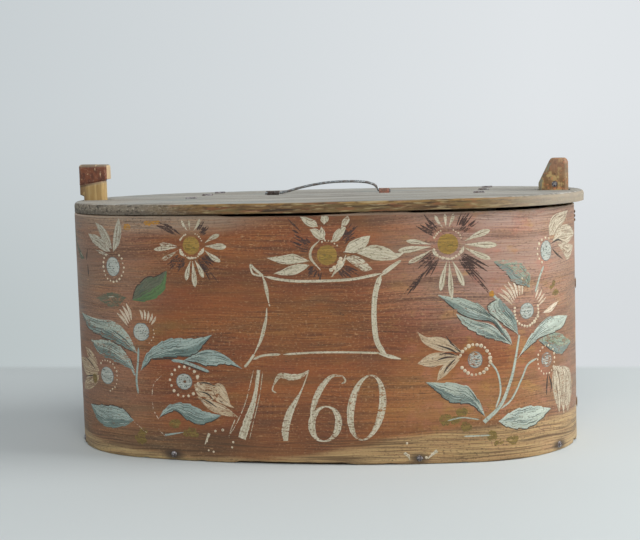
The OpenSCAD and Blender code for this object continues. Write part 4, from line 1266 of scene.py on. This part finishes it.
def lidMaterial():
    # Weathered softwood: silver-grey on top with open grain, brown and mossy on its edge, where paint is left.
    material, tree, inputs = newMaterial("weatheredLid", 0.72, 0.3)
    place = addNode(tree, 'ShaderNodeTexCoord', out="Object")
    split = addNode(tree, 'ShaderNodeSeparateXYZ', [place], None).outputs
    drift = drawnNoise(tree, place, (6, 16, 1), 2.0)
    across = addNode(tree, mathNode, [drift, 20 * mm, split[1]], operation='MULTIPLY_ADD')
    lines = addNode(tree, 'ShaderNodeCombineXYZ', [split[0], across, split[2]])
    top = linear("#9f9b91")
    for layer in (((4, 70, 60), 0.42, 0.6, 0.8, "#bdbab1"), ((3, 240, 200), 0.52, 0.38, 0.8, "#67635a"),
                  ((12, 600, 500), 0.5, 0.34, 0.75, "#4a453d"), ((60, 900, 500), 0.57, 0.66, 0.6, "#3d3832"), ((12, 600, 500), 0.54, 0.68, 0.5, "#cbc8bf"),
                  ((14, 30, 20), 0.52, 0.7, 0.55, "#86908f"), ((9, 20, 20), 0.56, 0.7, 0.35, "#8d7b63")):
        top = layStain(tree, top, lines, *layer)
    side = linear("#6e5336")
    for layer in (((7, 60, 200), 0.42, 0.6, 0.9, "#8f7040"), ((22, 120, 640), 0.52, 0.38, 0.9, "#33251a"), ((160, 200, 700), 0.5, 0.64, 0.6, "#3f2f22"),
                  ((26, 60, 300), 0.5, 0.64, 0.7, "#776540"), ((80, 110, 800), 0.53, 0.64, 0.75, "#a2906a"), ((60, 110, 400), 0.55, 0.68, 0.5, "#8a5236")):
        side = layStain(tree, side, place, *layer)
    side = layZone(tree, side, split[0], 120 * mm, 200 * mm, 0.8, "#9b9283")
    side = layZone(tree, side, split[0], -70 * mm, -130 * mm, 0.85, "#847b6d")
    leftEnd = addNode(tree, rangeNode, [split[0], -60 * mm, -120 * mm])
    side = layStain(tree, side, place, (330, 400, 560), 0.5, 0.62, 0.75, "#332d26", leftEnd)
    side = layStain(tree, side, place, (420, 420, 700), 0.54, 0.64, 0.6, "#b0a796", leftEnd)
    # painted shade along the lower part of the edge, at the left end
    side = layZone(tree, side, split[2], 191.4 * mm, 189.2 * mm, 0.45, "#3d3630", leftEnd)
    edge = addNode(tree, 'ShaderNodeAttribute', out="Fac", attribute_name="rim")
    ragged = drawnNoise(tree, place, (30, 90, 90))
    edge = addNode(tree, mathNode, [ragged, 0.7, edge], operation='MULTIPLY_ADD')
    onEdge = addNode(tree, rangeNode, [edge, 0.75, 1.0], **eased)
    base = addNode(tree, mixNode, {0: onEdge, 6: top, 7: side}, **asColour)
    tree.links.new(base, inputs["Base Color"])
    height = addNode(tree, mathNode, [drawnNoise(tree, lines, (3, 240, 200)), drawnNoise(tree, lines, (18, 900, 700))],
                     operation='ADD')
    giveRelief(tree, inputs, height, 0.4 * mm, 0.6)
    return material


makeLid()
print("lid made")


# The two posts, whittled from solid wood: rings of points climb each post, shaped by its side view

def whittle(name, levels, middle, material, sharp=32):
    # each level gives its height at the outer and the inner face, those faces' places, half its depth and the paring
    # of its corners, all in mm; side +1 has its outer face towards +X
    points = []
    rings = 0
    for here, there in zip(levels, levels[1:] + [None]):
        steps = 1
        if there is not None:
            steps = max(1, int(max(abs(there[0] - here[0]), abs(there[1] - here[1])) / 2.5))
        for step in range(steps):
            t = step / steps
            zOut, zIn, xOut, xIn, half, pare = [a + (b - a) * t for a, b in zip(here, there or here)]
            corner = [(pare + 0.3, 0.0), (pare - 0.15, 0.1), (0.1, pare - 0.15), (0.0, pare + 0.3)]
            side = 1 if xOut > xIn else -1
            outline2 = []
            for cx, cy, flip in ((xOut, -half, False), (xOut, half, True), (xIn, half, False), (xIn, -half, True)):
                inward = -side if cx == xOut else side
                ring = [(cx + inward * a, cy - math.copysign(b, cy)) for a, b in corner]
                outline2 += list(reversed(ring)) if flip else ring
            for x, y in outline2:
                share = (x - xIn) / (xOut - xIn)
                z = zIn + (zOut - zIn) * share
                knife = 0.14 * noise.noise(Vector((x * 0.35, y * 0.35, z * 0.12)))
                points.append(((x - side * abs(knife) * (share - 0.5)) * mm, (y + middle - y * abs(knife) * 0.08) * mm, z * mm))
            rings += 1
    faces = ringFaces(rings, 16, False)
    faces.append(tuple(range(16)))
    faces.append(tuple((rings - 1) * 16 + i for i in reversed(range(16))))
    piece = meshObject(name, points, faces)
    turnOutwards(piece)
    piece.data.set_sharp_from_angle(angle=math.radians(sharp))
    piece.data.materials.append(material)
    return piece


def latchMaterial():
    # Bare yellow wood that gives with the thumb; its head keeps a worn coat of red-brown paint on its broad sides, with
    # a painted shadow under the head.
    material, tree, inputs, place, base = woodMaterial("latchWood", "#c2a570", "#a28352", "#ab9466", "#6f5433", True)
    split = addNode(tree, 'ShaderNodeSeparateXYZ', [place], None).outputs
    ragged = drawnNoise(tree, place, (260, 260, 140))
    tilt = addNode(tree, mathNode, [split[0], -0.16, split[2]], operation='MULTIPLY_ADD')
    head = addNode(tree, rangeNode, [tilt, 238.6 * mm, 239.2 * mm, 0.0, 1.0], **eased)
    inner = addNode(tree, rangeNode, [split[0], -173.8 * mm, -174.1 * mm, 0.0, 1.0], **eased)
    keep = addNode(tree, mathNode, [head, inner], operation='MULTIPLY')
    rubbed = addNode(tree, rangeNode, [ragged, 0.68, 0.6, 0.0, 1.0], **eased)
    keep = addNode(tree, mathNode, [keep, rubbed], operation='MULTIPLY')
    paint = layStain(tree, linear("#784832"), place, (300, 300, 200), 0.42, 0.62, 0.8, "#56352a")
    paint = layStain(tree, paint, place, (500, 500, 500), 0.55, 0.66, 0.7, "#94705a")
    paint = layZone(tree, paint, split[2], 221.5 * mm, 223.5 * mm, 0.7, "#8c8471")
    pale = layZone(tree, base, tilt, 236 * mm, 239 * mm, 0.7, "#cdb594")
    outer = addNode(tree, rangeNode, [split[0], -190 * mm, -193.5 * mm, 0.0, 0.75], **eased)
    stainedAndShaded = layZone(tree, pale, ragged, 0.36, 0.5, 1.0, "#6a4f38", outer)
    under = addNode(tree, rangeNode, [split[0], -192 * mm, -180 * mm, 1.0, 0.4])
    stainedAndShaded = layZone(tree, stainedAndShaded, tilt, 236.6 * mm, 238.4 * mm, 0.8, "#4a3524", under)      # shadow under the head
    notHead = addNode(tree, mixNode, {0: head, 6: stainedAndShaded, 7: pale}, **asColour)
    colour = addNode(tree, mixNode, {0: keep, 6: notHead, 7: paint}, **asColour)
    tree.links.new(colour, inputs["Base Color"])
    return material


def postMaterial():
    # Worn orange-brown paint over wood, rubbed bare and grey along the pared corners.
    material, tree, inputs, place, base = woodMaterial("postWood", "#9c7a55", "#86603f", "#a08463", "#5d4029", True)
    split = addNode(tree, 'ShaderNodeSeparateXYZ', [place], None).outputs
    base = layStain(tree, base, place, (240, 240, 150), 0.47, 0.57, 0.75, "#80603f")
    base = layStain(tree, base, place, (210, 210, 140), 0.53, 0.6, 0.8, "#bca36d")
    base = layStain(tree, base, place, (460, 460, 460), 0.57, 0.64, 0.8, "#c8835a")      # chips of the orange coat
    base = layStain(tree, base, place, (500, 500, 420), 0.54, 0.66, 0.7, "#5e4433")
    base = layZone(tree, base, split[2], 206 * mm, 214 * mm, 0.45, "#8e6a5a")
    corner = addNode(tree, 'ShaderNodeAttribute', out="Fac", attribute_name="corner")
    ragged = drawnNoise(tree, place, (260, 260, 160))
    bare = addNode(tree, rangeNode, [ragged, 0.36, 0.56, 0.2, 0.95], **eased)
    outer = addNode(tree, rangeNode, [split[0], 185 * mm, 190 * mm], **eased)
    strip = addNode(tree, mixNode, {0: outer, 6: linear("#8b8b78"), 7: linear("#77644e")}, **asColour)
    amount = addNode(tree, mathNode, [corner, bare], operation='MULTIPLY')
    colour = addNode(tree, mixNode, {0: amount, 6: base, 7: strip}, **asColour)
    tree.links.new(colour, inputs["Base Color"])
    return material


def markCorners(piece, top):
    # 1 on the pared corners of a post up to a height in mm, 0 on its faces: four points of each ring make a corner
    marks = []
    for i, vertex in enumerate(piece.data.vertices):
        marks.append(1.0 if i % 4 in (1, 2) and vertex.co.z < top * mm else 0.0)
    keepAtPoints(piece, "corner", 'FLOAT', marks)


# height outside and inside, outer face, inner face, half depth, corner paring
latchLevels = [
    (9.8, 9.8, -195.3, -179.3, 5.9, 1.5), (33, 33, -196.0, -179.3, 5.9, 1.5), (175.5, 175.5, -194.6, -177.6, 5.9, 1.5),
    (186, 186, -194.5, -177.2, 5.4, 1.4), (198.4, 206, -194.5, -177.2, 5.3, 1.3), (199.8, 206.5, -197.7, -177.2, 5.3, 1.3),
    (208.0, 211.4, -197.7, -177.2, 5.3, 1.3), (208.3, 211.7, -197.8, -177.0, 5.9, 1.4),
    (208.8, 212.2, -197.8, -173.6, 5.95, 1.9), (209.6, 213.2, -197.8, -173.4, 5.95, 2.0),
    (222.6, 222.4, -197.8, -173.5, 5.95, 2.0), (223.8, 223.4, -197.3, -173.9, 5.5, 1.9),
    (224.5, 224.0, -196.2, -174.9, 4.6, 1.6)]
fixedLevels = [
    (9.1, 9.1, 196.7, 179.8, 6.9, 2.7), (171.3, 171.3, 196.7, 174.1, 6.9, 2.7), (188, 188, 196.7, 173.8, 6.95, 2.6),
    (200.9, 200.9, 196.7, 173.8, 6.95, 2.6), (216.6, 217.4, 196.7, 182.0, 6.95, 2.6), (218.6, 219.2, 195.9, 183.1, 6.4, 2.5),
    (219.9, 220.0, 194.3, 184.4, 5.2, 2.3)]
latchPost = whittle("latchPost", latchLevels, -6.0, latchMaterial())
finishPiece(latchPost, "latch", "latch_wood", "latch_post")
fixedPost = whittle("fixedPost", fixedLevels, 4.0, postMaterial())
markCorners(fixedPost, 216)
finishPiece(fixedPost, "box", "post_wood", "fixed_post")
print("posts made")


# The wire handle and the coil that holds its left end

handle = {
    "gauge": 1.05 * mm,
    "y": 12.0,
    "route": [(-47, 196.8), (-36, 196.8), (-29, 198.0), (-17, 201.0), (-4, 203.4), (9, 204.8), (24, 205.0),
              (35, 204.3), (42, 202.4), (45.6, 199.4), (47.4, 197.0), (56, 196.8)],        # mm: along X and up
    "coilTurns": 6,
    "coil": (-45.6, -35.6, 1.72),        # mm: from, to and radius
}
wireIron = ironMaterial("drawnIronWire", "#b2b6b8", "#5c5e61", "#5b4d43", 0.9, 0.34)
rustIron = ironMaterial("rustyIron", "#96705e", "#5c443a", "#a8705e", 0.2, 0.75)
coilIron = ironMaterial("darkIron", "#6a5f58", "#2b2422", "#3c2a22", 0.6, 0.55)


def tube(name, route, gauge, sides, material, body, slot, *nodes):
    edges = [(i, i + 1) for i in range(len(route) - 1)]
    piece = meshObject(name, route, [], edges)
    runTree(piece, tubeTree, {"Radius": gauge, "Sides": sides, "Material": material})
    makePlain(piece)
    turnOutwards(piece)
    piece.data.shade_smooth()
    finishPiece(piece, body, slot, *nodes)
    return piece


def makeHandle():
    route = [(p.x * mm, handle["y"] * mm, p.y * mm) for p in curveThrough([Vector(p) for p in handle["route"]], 0.8)]
    tube("wireHandle", route, handle["gauge"], 14, wireIron, "handle", "handle_wire", "wire_handle")
    start, end, radius = handle["coil"]
    steps = handle["coilTurns"] * 16
    route = []
    for i in range(steps + 1):
        angle = 2 * math.pi * handle["coilTurns"] * i / steps
        route.append(((start + (end - start) * i / steps) * mm, (handle["y"] + radius * math.sin(angle)) * mm,
                      (196.8 + radius * math.cos(angle) * 0.8) * mm))
    tube("handleCoil", route, 0.62 * mm, 8, coilIron, "lid", "rusty_strap", "clip_latch_end")


makeHandle()


# CAD nodes that keep their shape and get their finish here

def bottomMaterial():
    # bare sawn softwood, with painted shade, near black, towards its lower edge along the foot
    material, tree, inputs, place, base = woodMaterial("bottomSoftwood", "#a98a5c", "#8a6b43", "#8d7d62", "#4f3d28")
    up = addNode(tree, 'ShaderNodeSeparateXYZ', [place], 2)
    tree.links.new(layZone(tree, base, up, 6 * mm, 2 * mm, 0.85, "#241c16"), inputs["Base Color"])
    return material


bottomWood = bottomMaterial()
battenWood = woodMaterial("battenSoftwood", "#a58a62", "#8a6d47", "#8f8268", "#5a462f")[0]
pegWood = woodMaterial("pegWood", "#8a6a45", "#6b4e32", "#7d6a50", "#3f2d1d")[0]
nodeLooks = {
    "bottom_board": bottomWood, "batten_latch_end": battenWood, "batten_fixed_end": battenWood,
    "latch_pegs": pegWood, "fixed_post_pegs": pegWood, "fixed_post_lacing": rootLook, "cross_nail": nailIron,
    "batten_nails_latch_end": nailIron, "batten_nails_fixed_end": nailIron, "clip_fixed_end": rustIron,
}
for name, material in nodeLooks.items():
    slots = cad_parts[name].material_slots
    for slot in slots:
        slot.material = material
print("CAD nodes dressed")


# Floor, world, lamps and camera

view = {
    "azimuth": 10.74, "elevation": 5.69, "roll": -1.71,     # degrees
    "distance": 1122.4 * mm,
    "target": (-1.24 * mm, 0, 134.6 * mm),
    "lens": 78.29,
    "floorEdge": 0.32,                                       # metres behind the box where the floor ends
    "edgeTurn": 0.7,                                         # degrees that its far edge is turned
}
backdropColours = {"left": "#c6cdd0", "right": "#e1e5e8", "lowLeft": "#b9c2c3", "lowRight": "#d7dbde",
                   "floor": "#c8cece"}


def makeCamera():
    a, e, r = [math.radians(view[key]) for key in ("azimuth", "elevation", "roll")]
    back = Vector((math.sin(a) * math.cos(e), -math.cos(a) * math.cos(e), math.sin(e)))
    right = Vector((0, 0, 1)).cross(back).normalized()
    up = back.cross(right)
    right, up = right * math.cos(r) + up * math.sin(r), up * math.cos(r) - right * math.sin(r)
    camera = bpy.data.objects.new("camera", bpy.data.cameras.new("camera"))
    camera.data.lens = view["lens"]
    camera.data.sensor_width = 36
    camera.data.clip_start, camera.data.clip_end = 0.01, 50
    turned = Matrix((right, up, back)).transposed().to_4x4()
    camera.matrix_world = Matrix.Translation(Vector(view["target"]) + back * view["distance"]) @ turned
    scene.collection.objects.link(camera)
    scene.camera = camera


def seenDirectly(tree):
    # 1 for rays from the camera, or by way of gloss or glass
    path = addNode(tree, 'ShaderNodeLightPath', out=None).outputs
    seen = addNode(tree, mathNode, [path["Is Camera Ray"], path["Is Glossy Ray"]], operation='MAXIMUM')
    return addNode(tree, mathNode, [seen, path["Is Transmission Ray"]], operation='MAXIMUM')


def backdropColour(tree, direction):
    # the backdrop's colour by direction, with painted shade: darker at the left, and low down
    a = math.radians(view["azimuth"])
    sideways = addNode(tree, vectorNode, [direction, (math.cos(a), math.sin(a), 0)], "Value", operation='DOT_PRODUCT')
    split = addNode(tree, 'ShaderNodeSeparateXYZ', [direction], 2)
    share = addNode(tree, rangeNode, [sideways, -0.25, 0.16])
    tones = [linear(backdropColours[key]) for key in ("left", "right", "lowLeft", "lowRight")]
    high = addNode(tree, mixNode, {0: share, 6: tones[0], 7: tones[1]}, **asColour)
    low = addNode(tree, mixNode, {0: share, 6: tones[2], 7: tones[3]}, **asColour)
    fall = addNode(tree, rangeNode, [split, 0.03, -0.15], **eased)
    return addNode(tree, mixNode, {0: fall, 6: high, 7: low}, **asColour)


def makeStage():
    floor = meshObject("floor", [(-5, -5, 0), (5, -5, 0), (5, 5, 0), (-5, 5, 0)], [(0, 1, 2, 3)])
    material, tree, inputs = newMaterial("paleFloor", 0.7, 0.2)
    place = addNode(tree, 'ShaderNodeTexCoord', out="Object")
    cloud = drawnNoise(tree, place, (2, 2, 2), 2.0)
    colour = layZone(tree, linear(backdropColours["floor"]), cloud, 0.3, 0.7, 0.25, "#bcc3c3")
    tree.links.new(colour, inputs["Base Color"])
    # past its far edge the floor glows with the backdrop's colour, its painted shade included, for rays from the camera
    # and by way of gloss or glass
    a = math.radians(view["edgeTurn"])
    behind = addNode(tree, vectorNode, [place, (-math.sin(a), math.cos(a), 0)], "Value", operation='DOT_PRODUCT')
    fade = addNode(tree, rangeNode, [behind, view["floorEdge"] - 0.015, view["floorEdge"] + 0.015], **eased)
    fade = addNode(tree, mathNode, [fade, seenDirectly(tree)], operation='MULTIPLY')
    eye = Vector(view["target"]) + Vector((0.207, -1.097, 0.111))
    towards = addNode(tree, vectorNode, [place, tuple(eye)], operation='SUBTRACT')
    towards = addNode(tree, vectorNode, [towards], operation='NORMALIZE')
    glow = addNode(tree, 'ShaderNodeEmission', {"Color": backdropColour(tree, towards), "Strength": 1.0})
    solid = [node for node in tree.nodes if node.type == 'BSDF_PRINCIPLED'][0].outputs[0]
    both = addNode(tree, 'ShaderNodeMixShader', [fade, solid, glow])
    end = [node for node in tree.nodes if node.type == 'OUTPUT_MATERIAL'][0]
    tree.links.new(both, end.inputs["Surface"])
    floor.data.materials.append(material)

    world = bpy.data.worlds.new("studio")
    scene.world = world
    world.use_nodes = True
    tree = world.node_tree
    tree.nodes.clear()
    direction = addNode(tree, 'ShaderNodeTexCoord', out="Generated")
    seen = addNode(tree, 'ShaderNodeBackground', {"Color": backdropColour(tree, direction), "Strength": 1.0})
    fill = addNode(tree, 'ShaderNodeBackground', {"Color": linear("#e6eaee"), "Strength": 0.45})
    both = addNode(tree, 'ShaderNodeMixShader', [seenDirectly(tree), fill, seen])
    addNode(tree, 'ShaderNodeOutputWorld', {"Surface": both}, None)


def addLamp(name, place, target, size, power, colour):
    lamp = bpy.data.lights.new(name, 'AREA')
    lamp.shape = 'DISK'
    lamp.size = size
    lamp.energy = power
    lamp.color = linear(colour)[:3]
    holder = bpy.data.objects.new(name, lamp)
    holder.location = place
    holder.rotation_euler = (Vector(target) - Vector(place)).to_track_quat('-Z', 'Y').to_euler()
    scene.collection.objects.link(holder)


makeCamera()
makeStage()
addLamp("front", (0.45, -1.7, 1.5), (0, 0, 0.1), 1.3, 20, "#fffdfa")
addLamp("fillLeft", (-1.5, -1.3, 0.9), (0, 0, 0.1), 1.3, 3, "#eef4ff")
addLamp("windowRight", (1.6, -0.05, 0.98), (0, 0, 0.1), 0.9, 28, "#ffffff")

print("camera, stage and lamps ready")
